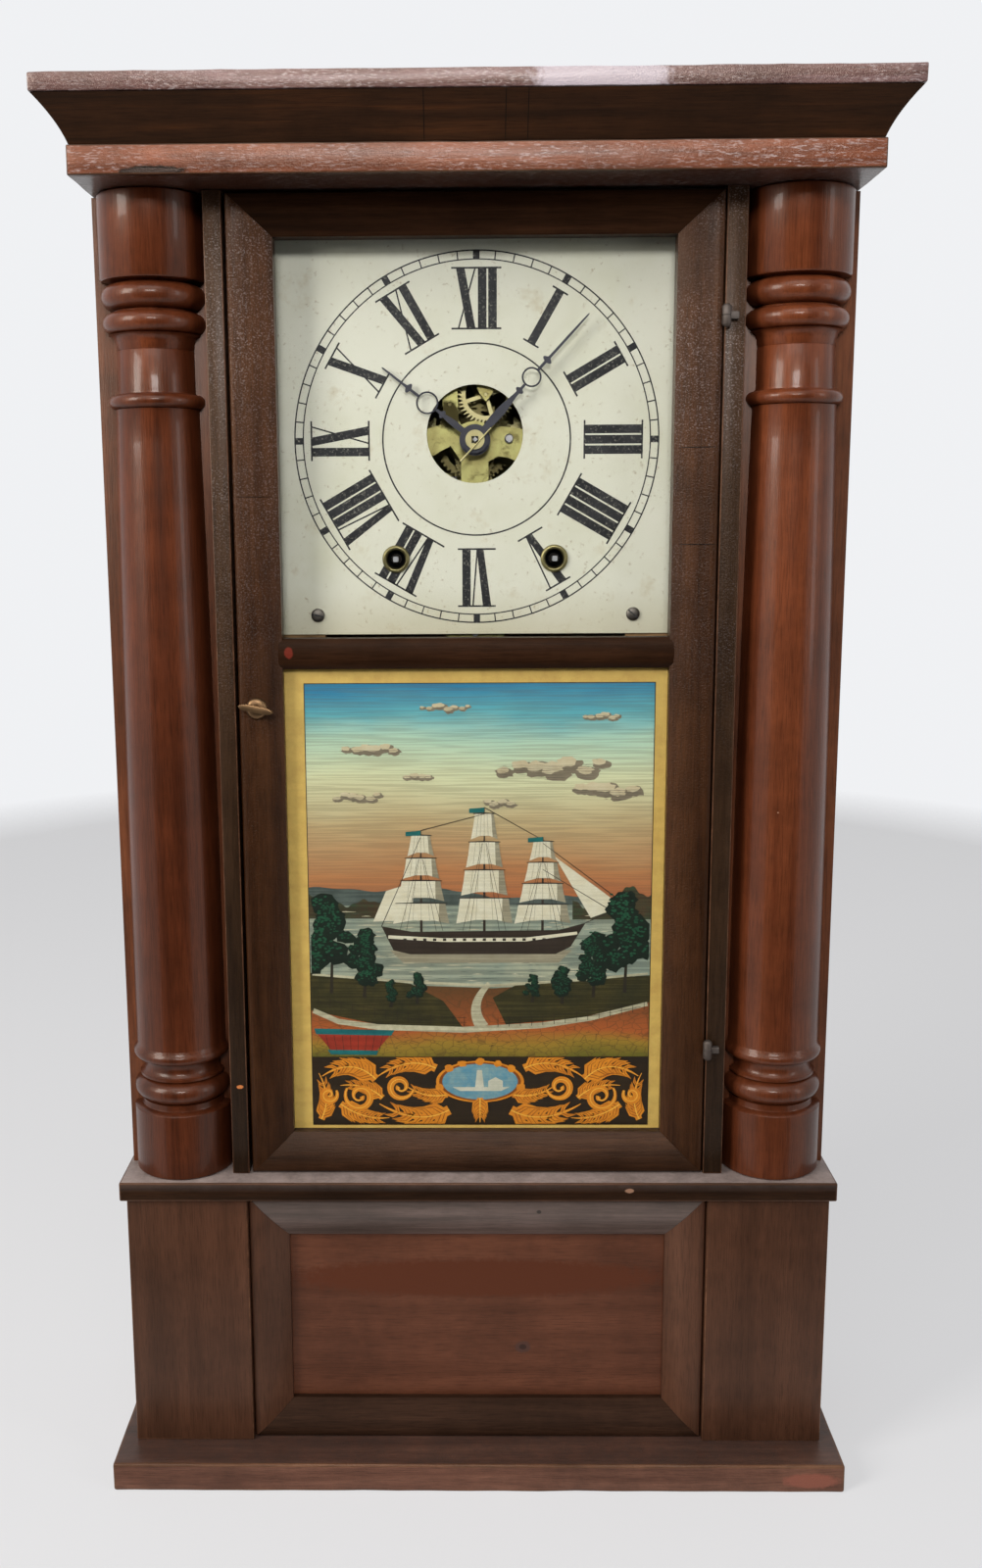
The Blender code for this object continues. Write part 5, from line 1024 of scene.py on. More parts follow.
def ship(paint):
    """A three-masted ship seen from the side."""
    hull = engraved("ship hull", (0.05, 0.035, 0.025), (0.03, 0.02, 0.012), strength=0.3)
    white = engraved("sail white", (0.84, 0.80, 0.62), (0.74, 0.67, 0.46), lines=1300, strength=0.12,
                     size=120)
    shaded = engraved("sail shade", (0.42, 0.38, 0.26), (0.32, 0.28, 0.18), strength=0.3)
    ink = engraved("ink line", (0.04, 0.032, 0.025), (0.025, 0.02, 0.015), strength=0)
    teal = engraved("flag teal", (0.02, 0.19, 0.17), (0.012, 0.11, 0.11), strength=0.2)
    paint.lay(shaded, [(-52, 330), (58, 330), (50, 322), (-44, 322)])
    paint.lay(hull, [(-57, 345), (-50, 330), (-40, 327.5), (48, 327.5), (57, 332), (66, 347), (50, 342.5),
                     (-38, 341.5)])
    for x, top in MASTS:
        paint.stroke(hull, [(x, 340), (x, (340 + top) / 2), (x, top)], [1.6, 1.2, 0.5])
    paint.stroke(white, [(-53, 338.4), (-20, 336.4), (30, 336.6), (61, 340.6)], [2.0, 2.4, 2.4, 1.8])
    for x, z0, z1, w0, w1 in sails():
        middle = (z0 + z1) / 2
        paint.lay(white, [(x - w0, z0), (x - w0 * 0.3, z0 + 2.2), (x + w0 * 0.4, z0 + 2.2), (x + w0, z0),
                          (x + w1 + 1.0, middle), (x + w1, z1), (x - w1, z1), (x - w1 - 1.0, middle)])
    paint.lay(white, [(69, 350), (88, 357), (47, 388)])
    paint.lay(white, [(-62, 348), (-38, 349), (-38, 372), (-54, 367)])
    for x, z0, z1, w0, w1 in sails():
        paint.lay(shaded, [(x + w0 * 0.62, z0 + 1.4), (x + w0, z0), (x + w1 + 1, (z0 + z1) / 2), (x + w1, z1),
                           (x + w1 * 0.74, z1)])
        for seam in (-0.6, -0.3, 0.0, 0.3):
            paint.line(shaded, (x + seam * w0, z0 + 2), (x + seam * w1, z1), 0.22, 0.22)
    for port in range(17):
        x = -44 + port * 6.0
        paint.block(ink, x, x + 2.0, 335.8, 337.4)
    for x, top in MASTS:
        for yard_x, _, z, _, half in sails():
            if yard_x == x:
                reach = half + 1.0
                paint.stroke(ink, [(x - reach, z + 0.2), (x, z + 0.5), (x + reach, z + 0.2)], [0.5, 0.8, 0.5])
        for foot in (-13, -9, 9, 13):
            paint.line(ink, (x + foot, 342), (x + foot * 0.1, top - (top - DECK) * 0.3), 0.26, 0.2)
    for start, end in (((66, 347), (90, 358)), ((90, 358), (40, 396)), ((82, 354), (40, 380)),
                       ((-57, 345), (-33, 400)), ((-33, 404), (5, 414)), ((5, 418), (40, 398))):
        paint.line(ink, start, end, 0.5, 0.35)
    for x, top in MASTS:
        paint.lay(teal, [(x, top), (x - 9, top - 0.8), (x - 9, top - 3.4), (x, top - 3)])


def tree(paint, x, z, height, leaf, shadow, bark):
    """A trunk under 22 clumps of leaves."""
    paint.stroke(bark, [(x, z), (x + 0.6, z + height * 0.3), (x, z + height * 0.6)], [2.2, 1.5, 0.8])
    clumps = []
    for clump in range(22):
        share = clump / 21
        reach = height * 0.27 * (1 - 0.75 * share)
        clumps.append((x + random.uniform(-reach, reach), z + height * (0.26 + 0.68 * share),
                       height * random.uniform(0.07, 0.12)))
    for cx, cz, size in clumps:
        paint.dab(shadow, cx, cz, size * 1.2, size, 14)
    for cx, cz, size in clumps:
        for _ in range(9):
            paint.dab(leaf, cx + random.uniform(-0.9, 0.5) * size, cz + random.uniform(-0.2, 0.8) * size,
                      size * 0.17, size * 0.11, 6)


def shore(paint, left, right):
    """Shaded garden, cream harbour wall and a red-brown street that turns olive."""
    grass = engraved("shore grass", (0.075, 0.060, 0.018), (0.030, 0.030, 0.010), lines=1200, strength=0.5,
                     size=60)
    stone = engraved("wall cream", (0.66, 0.62, 0.42), (0.46, 0.42, 0.27), lines=900, strength=0.35, size=200)
    leaf = engraved("tree leaf", (0.020, 0.105, 0.050), (0.012, 0.060, 0.030), strength=0.2, size=300)
    shadow = engraved("tree shadow", (0.010, 0.022, 0.012), (0.006, 0.012, 0.007), strength=0.2)
    ink = engraved("garden line", (0.030, 0.024, 0.014), (0.02, 0.016, 0.010), strength=0)
    red = engraved("boat red", (0.42, 0.045, 0.022), (0.28, 0.030, 0.015), lines=700, strength=0.2)
    teal = engraved("boat teal", (0.02, 0.20, 0.20), (0.012, 0.12, 0.13), lines=700, strength=0.25)
    paint.lay(painted_street(), [(left, 262), (right, 262), (right, 312), (60, 309), (10, 306), (-40, 308),
                                 (left, 314)])
    paint.lay(grass, [(left, 292), (-60, 283), (-8, 281), (-20, 298), (-40, 309), (left, 316)])
    paint.lay(grass, [(18, 283), (62, 287), (right, 297), (right, 314), (60, 311), (24, 308), (10, 300)])
    wall = [(left + 1, 292), (-84, 285), (-60, 281.4), (-8, 279.6), (40, 282.4), (70, 287), (right - 1, 296)]
    paint.stroke(stone, wall, [3.2, 3.4, 3.6, 3.8, 3.6, 3.2, 2.6])
    paint.stroke(stone, bent((4, 281), (-6, 295), (8, 309)), [8 - 0.42 * step for step in range(13)])
    paint.stroke(stone, [(left + 1, 315), (-40, 310), (8, 307.5), (60, 311), (right - 1, 315)],
                 [1.4, 1.6, 1.8, 1.6, 1.4])
    for x, z, height in ((-88, 303, 60), (-68, 300, 42), (90, 303, 62), (71, 300, 40), (-36, 296, 20),
                         (34, 297, 18), (52, 296, 24), (-52, 294, 17)):
        tree(paint, x, z, height, leaf, shadow, ink)
    railing(paint, ink)
    for _ in range(110):
        x, z = random.uniform(left + 3, right - 3), random.uniform(264, 279)
        paint.line(ink, (x, z), (x + random.uniform(1, 3), z + random.uniform(-0.7, 0.7)), 0.22, 0.12)
    paint.lay(red, [(-88, 265.5), (-62, 265), (-53, 276), (-97, 277)])
    paint.lay(teal, [(-98, 277), (-52, 276), (-50, 279.4), (-99, 280.6)])
    paint.lay(teal, [(-89, 264), (-61, 263.6), (-60, 266.4), (-91, 267)])
    for x in range(-92, -55, 5):
        paint.line(ink, (x, 276.4), (x * 0.86 - 10.5, 266), 0.26, 0.26)


def railing(paint, ink):
    """Posts and two rails along the harbour wall, open where the path comes through."""
    start, run = -96, 198

    def wall_top(x):
        return 282.5 + 12 * (2 * (x - start) / run - 1.06) ** 2
    for step in range(30):
        x = start + run * step / 29
        if abs(x - 4) > 9:
            paint.line(ink, (x, wall_top(x) - 1), (x, wall_top(x) + 5.5), 0.34, 0.26)
    for rise in (1.5, 4.5):
        for low, high in ((start, -6), (14, 100)):
            places = [low + (high - low) * step / 8 for step in range(9)]
            paint.stroke(ink, [(x, wall_top(x) + rise) for x in places], [0.26] * 9)


def acanthus(paint, fills, start, bend, end, width, lobes=8):
    """A leaf on a bent rib; its lobes sweep towards the tip."""
    body, shaded, bright = fills
    rib = bent(start, bend, end, 16)
    paint.stroke(body, rib, [width * (0.55 - 0.5 * step / 16) for step in range(17)])
    sweeps = []
    for lobe in range(lobes):
        at = 1 + int(13 * lobe / lobes)
        ahead = Vector((rib[at + 2][0] - rib[at][0], rib[at + 2][1] - rib[at][1])).normalized()
        reach = width * (1.15 - 0.6 * lobe / lobes)
        for hand in (-1, 1):
            side = Vector((-ahead.y, ahead.x)) * hand
            foot = Vector(rib[at])
            knee = foot + ahead * reach * 0.35 + side * reach * 0.42
            tip = foot + ahead * reach * 1.05 + side * reach * 0.62
            sweeps.append(([tuple(foot), tuple(knee), tuple(tip)], reach))
    for points, reach in sweeps:
        paint.stroke(body, points, [reach * 0.30, reach * 0.36, 0.2])
    for points, reach in sweeps:
        paint.stroke(shaded, points, [0.5, 0.34, 0.1])
    paint.stroke(bright, rib, [0.9 - 0.045 * step for step in range(17)])


def scroll_band(paint, left, right, low):
    """Orange leaf scrolls on dark brown, mirrored about a small round scene."""
    ground = engraved("band ground", (0.035, 0.020, 0.008), (0.018, 0.011, 0.005), strength=0.2)
    orange = engraved("scroll orange", (0.84, 0.31, 0.024), (0.66, 0.21, 0.016), lines=1500, strength=0.1,
                      size=150)
    dark = engraved("scroll shade", (0.30, 0.080, 0.008), (0.20, 0.050, 0.006), strength=0)
    bright = engraved("scroll bright", (0.95, 0.52, 0.08), (0.86, 0.42, 0.05), strength=0)
    blue = engraved("medallion blue", (0.10, 0.30, 0.42), (0.30, 0.44, 0.42), strength=0.15, size=140)
    cream = engraved("medallion cream", (0.72, 0.70, 0.56), (0.52, 0.52, 0.40), strength=0.1)
    fills = (orange, dark, bright)
    high = 262.5
    paint.high = high - 0.4
    middle = (left + right) / 2
    paint.block(ground, left, right, low, high)
    leaves = (((19, 228), (38, 217), (62, 232), 11.5), ((27, 255), (44, 264), (64, 249), 9.5),
              ((86, 232), (72, 221), (56, 223), 8.5), ((64, 248), (78, 263), (97, 250), 10.5),
              ((98, 222), (91, 236), (99, 252), 7.5), ((20, 238), (34, 235), (46, 244), 7.0),
              ((60, 236), (70, 246), (86, 244), 7.0))
    curls = ((49, 243, 8.2, 1.5, 3.4, 1), (74, 237, 9.4, 1.6, 0.6, -1), (93, 238, 5.4, 1.4, 2.6, 1))
    steps = 36
    swell = [1.4 + 2.8 * math.sin(math.pi * min(1, step / 26)) + 1.4 * (step > 31)
             for step in range(steps + 1)]
    for side in (-1, 1):
        for *places, width in leaves:
            acanthus(paint, fills, *((middle + side * x, z) for x, z in places), width)
        for curl in curls:
            points = [(middle + side * x, z) for x, z in spiral(*curl, steps)]
            paint.stroke(orange, points, swell)
            paint.stroke(bright, points, [0.55] * len(points))
    for reach, finish in ((1.0, orange), (0.93, dark), (0.86, blue)):
        paint.lay(finish, ellipse(middle, 246.5, 27 * reach, 13.5 * reach, 48))
    for x, z in ((-19, 255), (19, 255), (-25, 243), (25, 243), (0, 259.5), (-11, 258), (11, 258)):
        paint.dab(orange, middle + x, z, 3.0, 2.4, 10)
    for outline in ([(-17, 243), (18, 243), (13, 240.5), (-12, 240.5)],
                    [(-3, 243), (2.4, 243), (1.2, 254), (-1.8, 254)],
                    [(5, 243), (14, 243), (14, 247), (9.5, 249.4), (5, 247)]):
        paint.lay(cream, shifted(outline, middle, 0))
    acanthus(paint, fills, (middle, 236), (middle, 228), (middle, 220), 7.0, 5)


# Dial and hands


RING_X = 1
NUMERALS = ("XII", "I", "II", "III", "IIII", "V", "VI", "VII", "VIII", "IX", "X", "XI")
NUMERAL_IN, NUMERAL_OUT = 62.4, 95.7
MINUTE_IN, MINUTE_OUT = 100.6, 105.0
FITTING_REAR = DIAL_FRONT + 0.3
WINDING_HOLES = [Vector((sign * WINDING_X, WINDING_Z)) for _, sign in SIDES]


def numeral_place(hour, across, out):
    """A numeral's own (across, outwards) millimetres as a place on the dial."""
    angle = math.tau * hour / 12
    return Vector((RING_X + out * math.sin(angle) + across * math.cos(angle),
                   CENTRE_Z + out * math.cos(angle) - across * math.sin(angle)))


def from_winding_hole(place):
    """How far a place on the dial is from the nearest winding hole's middle."""
    return min((place - hole).length for hole in WINDING_HOLES)


def dial_quad(bm, hour, points):
    """A painted patch from four corners, left out where a winding hole is."""
    a, b, c, d = (numeral_place(hour, *point) for point in points)
    near = from_winding_hole((a + b + c + d) / 4) < 40
    depth = DIAL_FRONT + 0.02 + 0.002 * (len(bm.faces) % 7)
    cell_size, hole_radius = 0.8, 6.6
    across = math.ceil((b - a).length / cell_size) if near else 1
    along = math.ceil((d - a).length / cell_size) if near else 1
    for row in range(along):
        for cell in range(across):
            corners = []
            for u, v in ((cell, row), (cell + 1, row), (cell + 1, row + 1), (cell, row + 1)):
                corners.append(a.lerp(b, u / across).lerp(d.lerp(c, u / across), v / along))
            if from_winding_hole(sum(corners, Vector((0, 0))) / 4) > hole_radius:
                bm.faces.new([bm.verts.new((corner.x, -depth, corner.y)) for corner in corners])


def dial_block(bm, hour, half, low, high):
    """A patch as wide to both sides of an hour's line, between two distances from the centre."""
    dial_quad(bm, hour, [(-half, low), (half, low), (half, high), (-half, high)])


def dial_stroke(bm, hour, top, foot, top_w, foot_w):
    """A straight stroke of a numeral, from its outer end to its inner one."""
    dial_quad(bm, hour, [(top - top_w / 2, NUMERAL_OUT), (top + top_w / 2, NUMERAL_OUT),
                         (foot + foot_w / 2, NUMERAL_IN), (foot - foot_w / 2, NUMERAL_IN)])


def paint_numeral(bm, hour, numeral):
    """The letters of an hour with the serif lines above and below them."""
    widths = {"I": 4.9, "V": 11.2, "X": 11.6}
    gap, thick, thin = 0.95, 4.9, 0.9
    total = sum(widths[letter] for letter in numeral) + gap * (len(numeral) - 1)
    at = -total / 2
    for letter in numeral:
        width = widths[letter]
        if letter == "I":
            dial_stroke(bm, hour, at + width / 2, at + width / 2, thick, thick)
        elif letter == "V":
            dial_stroke(bm, hour, at + 2.5, at + 6.6, thick, 4.0)
            dial_stroke(bm, hour, at + width - 0.4, at + 8.2, thin, thin)
        else:
            dial_stroke(bm, hour, at + width - 0.6, at + 1.4, thin, thin)
            dial_stroke(bm, hour, at + 2.5, at + width - 2.9, thick, thick)
        at += width + gap
    for out in (NUMERAL_OUT, NUMERAL_IN):
        dial_block(bm, hour, total / 2 + 2.6, out - 0.5, out + 0.5)


def build_dial():
    """Hours, minute ring and circles, and the rings of the winding holes."""
    refinish("dial", DIAL_CREAM)
    bm = bmesh.new()
    for hour, numeral in enumerate(NUMERALS):
        paint_numeral(bm, hour, numeral)
    for minute in range(60):
        dial_block(bm, minute / 5, 1.9 if minute % 5 == 0 else 0.36, MINUTE_IN, MINUTE_OUT)
    for radius, line in ((105.3, 0.8), (100.5, 0.7), (54.3, 0.9)):
        edges = []
        for reach in (radius - line / 2, radius + line / 2):
            rim = bmesh.ops.create_circle(bm, cap_ends=False, radius=reach, segments=180)["verts"]
            swung(bm, 90, (RING_X, -(DIAL_FRONT + 0.03), CENTRE_Z), "X", rim)
            edges += list({edge for vert in rim for edge in vert.link_edges})
        bmesh.ops.bridge_loops(bm, edges=edges)
    face_front(bm)
    add_piece("dial_marks", bm, DIAL_BLACK, "case", smooth=0)
    section = shifted([(5.2, -4.1), (6.1, -4.1), (6.4, 0), (8, 0), (8, 0.5), (7.6, 1.1), (6.9, 1.5),
                       (6.2, 1.4), (5.6, 0.9), (5.2, 0.1), (5.2, -4.1)], 0, FITTING_REAR)
    for side, sign in SIDES:
        ring = turned(section, 48, (sign * WINDING_X, 0, WINDING_Z), lying=True)
        add_piece(f"winding_ring_{side}", ring, RING_BRASS, "case", instead_of=[f"grommet_{side}"],
                  smooth=50)
        dial_screw(side, sign * 93, 531.3, 12 if side == "left" else 40)


def dial_screw(side, x, z, turn):
    """A round head with a dark slot, turned by some degrees."""
    section = shifted([(0, 0), (4, 0), (4, 0.4), (3.6, 1), (2.4, 1.4), (0.42, 1.55), (0, 1.55)],
                      0, FITTING_REAR)
    head = turned(section, 32, lying=True)
    slot = plank(-3.6, 3.6, -1.62 - FITTING_REAR, -0.9 - FITTING_REAR, -0.4, 0.4, 0, worn=False)
    for bm in (head, slot):
        swung(bm, turn, (x, 0, z))
    add_piece(f"dial_screw_head_{side}", head, SCREW_STEEL, "case", [f"dial_screw_{side}"], 40)
    add_piece(f"dial_screw_slot_{side}", slot, DIAL_BLACK, "case", smooth=0)


def hand_place(along, across, degrees):
    """A place along and across a hand that points at an angle from twelve."""
    angle = math.radians(degrees)
    return (along * math.sin(angle) + across * math.cos(angle),
            CENTRE_Z + along * math.cos(angle) - across * math.sin(angle))


def hand_piece(pairs, degrees, front, rear):
    """A part of a hand, even on both sides of its line, from (along, half width) pairs."""
    right = [hand_place(along, half, degrees) for along, half in pairs]
    left = [hand_place(along, -half, degrees) for along, half in reversed(pairs)]
    return cut_out(right + left, [], front, rear)


def build_hand(name, degrees, rear, arm, ring_at, ring_r, cross_at, tip, hub_r, bore_r):
    """A blued hand: hub, swelling arm, open ring, cross and tip. Arm and tip are (along, half width) pairs."""
    front = rear + 0.9
    middle = (front + rear) / 2
    parts = [hand_piece(arm, degrees, front - 0.05, rear + 0.05),
             cut_out(circle(0, CENTRE_Z, hub_r), [circle(0, CENTRE_Z, bore_r, 32)], front, rear)]
    x, z = hand_place(ring_at, 0, degrees)
    section = [(ring_r - 0.55 + across, along) for across, along in ellipse(0, middle, 0.5, 0.4, 10)]
    parts.append(turned(section + section[:1], 48, (x, 0, z), lying=True))
    spear = [(-4.2, 0.5), (-1.6, 0.7), (-0.7, 2.6), (0, 3.0), (0.7, 2.4), (1.6, 0.9), (4.5, 0.6)]
    bar = [(-1.6, 0.7), (-0.5, 2.4), (0.5, 2.4), (1.6, 0.7)]
    for pairs, at in ((spear, cross_at), (bar, ring_at - ring_r - 4.4)):
        parts.append(hand_piece([(at + along, half) for along, half in pairs], degrees, front, rear + 0.1))
    body = f"{name}_group"
    add_piece(f"{name}_blade", joined(parts), BLUED, body, instead_of=[name], smooth=40)
    blade = hand_piece(tip, degrees, front - 0.05, rear + 0.05)
    add_piece(f"{name}_tip", blade, BLUED, body, smooth=40)


def build_hands():
    """Both hands at the photograph's time, with the washer and taper pin that hold them."""
    minute_way = 43.1
    arm = [(2, 3.4), (8, 1.9), (16, 2.5), (22, 2.6), (28, 1.9), (34, 1.1), (41.8, 0.7)]
    tip = [(52.9, 0.85), (60, 0.8), (80, 0.7), (94, 0.45), (95.1, 0.2)]
    build_hand("minute_hand", minute_way, 91.3, arm, 47.5, 5.7, 60.5, tip, 7.6, 1.9)
    arm = [(2, 3.2), (9, 1.6), (14, 1.9), (18, 1.7), (23, 1.0), (28, 0.75)]
    tip = [(40.7, 0.8), (48, 0.75), (60, 0.6), (66.4, 0.45), (67.2, 0.15)]
    build_hand("hour_hand", 307.5, 88.4, arm, 34.5, 6.5, 48.0, tip, 8.9, 4.4)
    rear = 92.5
    square = circle(0, CENTRE_Z, 2.8, 4, math.radians(45))
    washer = cut_out(circle(0, CENTRE_Z, 5.5), [square], rear + 0.9, rear)
    (x0, z0), (x1, z1) = (hand_place(along, 2.3, minute_way) for along in (-15, 11))
    run = Vector((x1 - x0, 0, z1 - z0))
    taper = turned([(0, 0), (0.65, 0.2), (0.4, run.length), (0, run.length)], 16)
    bmesh.ops.rotate(taper, cent=(0, 0, 0), matrix=run.to_track_quat("Z", "Y").to_matrix(), verts=taper.verts)
    bmesh.ops.translate(taper, vec=(x0, -(rear + 1.6), z0), verts=taper.verts)
    add_piece("hand_washer", joined([washer, taper]), WHEEL_BRASS, "minute_hand_group",
              instead_of=["hand_collet"], smooth=40)


# The movement


ARBORS = {"centre": (0.0, 0.0), "second_time": (40.0, -18.8), "second_strike": (-40.0, -18.8),
          "great_time": (WINDING_X, -68.0), "great_strike": (-WINDING_X, -68.0), "third": (-14.5, 20.5),
          "escape": (6.5, 26.0), "fly": (-50.0, 22.4), "minute": (0.0, -14.0)}
ARBOR_REAR, ARBOR_FRONT = 36.4, 81.6


def arbor(name):
    """Where an arbor stands, as (x, z) in millimetres."""
    x, up = ARBORS[name]
    return x, CENTRE_Z + up


def pitch(a, b, teeth, leaves):
    """Pitch radii of a wheel on one arbor and the pinion that it meets on the other."""
    (ax, az), (bx, bz) = arbor(a), arbor(b)
    share = math.hypot(bx - ax, bz - az) / (teeth + leaves)
    return share * teeth, share * leaves


def gear_loop(x, z, teeth, tip, root, phase, lean, top):
    """Outline of a toothed wheel: each tooth has a narrow flat top."""
    points = []
    for tooth in range(teeth):
        for turn, reach in ((-0.36, root), (lean - top, tip), (lean + top, tip), (0.36, root)):
            angle = phase + (tooth + turn) * math.tau / teeth
            points.append((x + reach * math.cos(angle), z + reach * math.sin(angle)))
    return points


def crossed_wheel(x, z, teeth, tip, root, rim, hub, spokes, at, thick, phase=0.0, lean=0.0, top=0.11):
    """A toothed wheel with open crossings between its spokes."""
    front, rear, half = at + thick / 2, at - thick / 2, 1.1
    parts = [cut_out(gear_loop(x, z, teeth, tip, root, phase, lean, top), [circle(x, z, root - rim, 72)],
                     front, rear),
             pin(x, z, hub, front + 0.02, rear - 0.02, 32)]
    for spoke in range(spokes):
        bar = plank(0, root - rim / 2, 0.01 - front, -0.01 - rear, -half, half, 0, worn=False)
        parts.append(swung(bar, -math.degrees(math.tau * spoke / spokes + phase), (x, 0, z)))
    return parts


def train_wheel(name, teeth, radius, rim, hub, spokes, at, thick=1.5):
    """A crossed wheel on its arbor. Its teeth reach 0.9 module past the pitch circle and 1 inside it."""
    module = 2 * radius / teeth
    tip, root = radius + 0.9 * module, radius - module
    return crossed_wheel(*arbor(name), teeth, tip, root, rim, hub, spokes, at, thick)


def lantern(name, radius, at, length, leaves):
    """A lantern pinion on its arbor: wire leaves between two small plates."""
    x, z = arbor(name)
    plate = 0.6
    ends = (at - length / 2, at + length / 2 - plate)
    parts = [pin(x, z, radius + plate, end + plate, end) for end in ends]
    for leaf_x, leaf_z in circle(x, z, radius - 0.3, leaves):
        parts.append(pin(leaf_x, leaf_z, 0.45, at + length / 2, at - length / 2, 8))
    return parts


def shaft(name):
    """An arbor with thin pivots at both ends."""
    x, z = arbor(name)
    half = [(0, 0), (0.9, 0), (0.9, 2.3), (1.5, 2.6)]
    profile = [(radius, ARBOR_REAR + up) for radius, up in half]
    profile += [(radius, ARBOR_FRONT - up) for radius, up in reversed(half)]
    return turned(profile, 24, (x, 0, z), lying=True)


def add_wheel(name, parts, finish, body, node):
    """Wheelwork that stands for a CAD node."""
    add_piece(name, joined(parts), finish, body, [node])


def build_trains():
    """Great and second wheels of both trains, and the fly of the striking one."""
    for train, goal, leaves, depth in (("time", "centre", 10, 65.2), ("strike", "fly", 8, 61.6)):
        great, second = f"great_{train}", f"second_{train}"
        big, small = pitch(great, second, 48, 8)
        wheel = train_wheel(great, 48, big, 4.5, 7, 5, 43)
        add_wheel(f"{train}_main_wheel", wheel, WHEEL_BRASS, f"{train}_great", f"{train}_great_wheel")
        radius, _ = pitch(second, goal, 40, leaves)
        parts = train_wheel(second, 40, radius, 4, 5, 5, depth) + lantern(second, small, 43, 4, 8)
        add_wheel(f"{train}_crossed_wheel", parts + [shaft(second)], WHEEL_BRASS, f"{train}_second",
                  f"{train}_second_wheel")
    x, z = arbor("fly")
    vane = plank(x - 13, x + 13, -58, -44, z - 0.5, z + 0.5, 0.2, worn=False)
    _, small = pitch("second_strike", "fly", 40, 8)
    parts = [vane, shaft("fly")] + lantern("fly", small, 61.6, 4, 8)
    add_wheel("fly_vane", parts, BRASS, "strike_fly", "fly")


def build_movement():
    """Wheels, plates, fittings and the finishes of the CAD nodes that stay as they are."""
    refinish("movement_front_plate", plate_brass())
    # The back plate and the centre, third, hour and minute wheels take the brass with painted shade.
    refinish("movement_back_plate", SHADED_BRASS)
    build_trains()
    big, small = pitch("centre", "third", 48, 6)
    parts = train_wheel("centre", 48, big, 3, 5, 4, 69)
    parts += lantern("centre", pitch("second_time", "centre", 40, 10)[1], 65.2, 4, 10)
    parts += [pin(0, CENTRE_Z, 1.5, 91, ARBOR_REAR), pin(0, CENTRE_Z, 3.4, 74.6, 73.2)]
    add_wheel("centre_wheel", parts, SHADED_BRASS, "minute_hand_group", "centre_arbor")
    square = pin(0, CENTRE_Z, 1.7, 96.4, 90, 4, 0.3)
    add_piece("centre_square", square, STEEL, "minute_hand_group")
    big, leaf = pitch("third", "escape", 48, 6)
    parts = train_wheel("third", 48, big, 2.6, 4, 4, 71.5) + lantern("third", small, 69, 2.4, 6)
    add_wheel("third_crossed_wheel", parts + [shaft("third")], SHADED_BRASS, "third", "third_wheel")
    parts = crossed_wheel(*arbor("escape"), 42, 17, 14.1, 2.3, 3, 4, 78.3, 1.1, 0.3, -0.3, 0.05)
    parts += lantern("escape", leaf, 71.5, 2, 6) + [shaft("escape")]
    add_wheel("escape_crossed_wheel", parts, WHEEL_BRASS, "escape", "escape_wheel")
    parts = train_wheel("centre", 32, pitch("centre", "minute", 32, 8)[0], 2, 5.4, 4, 75.9, 1.3)
    pipe = turned([(2.6, 76), (4, 76), (4, 90.2), (2.6, 90.2), (2.6, 76)], 32, (0, 0, CENTRE_Z), lying=True)
    add_wheel("hour_crossed_wheel", parts + [pipe], SHADED_BRASS, "hour_hand_group", "hour_wheel")
    parts = train_wheel("minute", 24, pitch("minute", "centre", 24, 8)[0], 2, 2.4, 3, 73.9, 1.3)
    add_wheel("minute_crossed_wheel", parts, SHADED_BRASS, "minute_wheel_group", "minute_wheel")
    drum = drum_iron()
    finishes = {"time_drum": drum, "strike_drum": drum, "pulley_right": BRASS, "pulley_left": BRASS,
                "time_weight": IRON, "strike_weight": IRON, "verge": STEEL, "hammer": STEEL, "gong": STEEL,
                "gong_base": IRON, "pendulum_rod": STEEL, "pendulum_bob": BRASS}
    for node, finish in finishes.items():
        refinish(node, finish)
    plate_front = 82.05
    for place, x, up in (("right", 45, 69), ("left", -45, 69), ("wing_right", 82, -19.5),
                         ("wing_left", -82, -19.5), ("foot", 0, -112)):
        nut = pin(x, CENTRE_Z + up, 2, 83.6, plate_front, 24, 0.4)
        add_piece(f"pillar_nut_{place}", nut, STEEL, "case")
    stud = pin(19.8, CENTRE_Z + 1, 2.6, 84.4, plate_front, 32, 0.6)
    add_piece("lever_stud", stud, STEEL, "case")


def around(middle, radius, start, end, steps):
    """Points on an arc from one angle to another."""
    angles = [start + (end - start) * step / steps for step in range(steps + 1)]
    return [middle + radius * Vector((math.cos(angle), math.sin(angle))) for angle in angles]


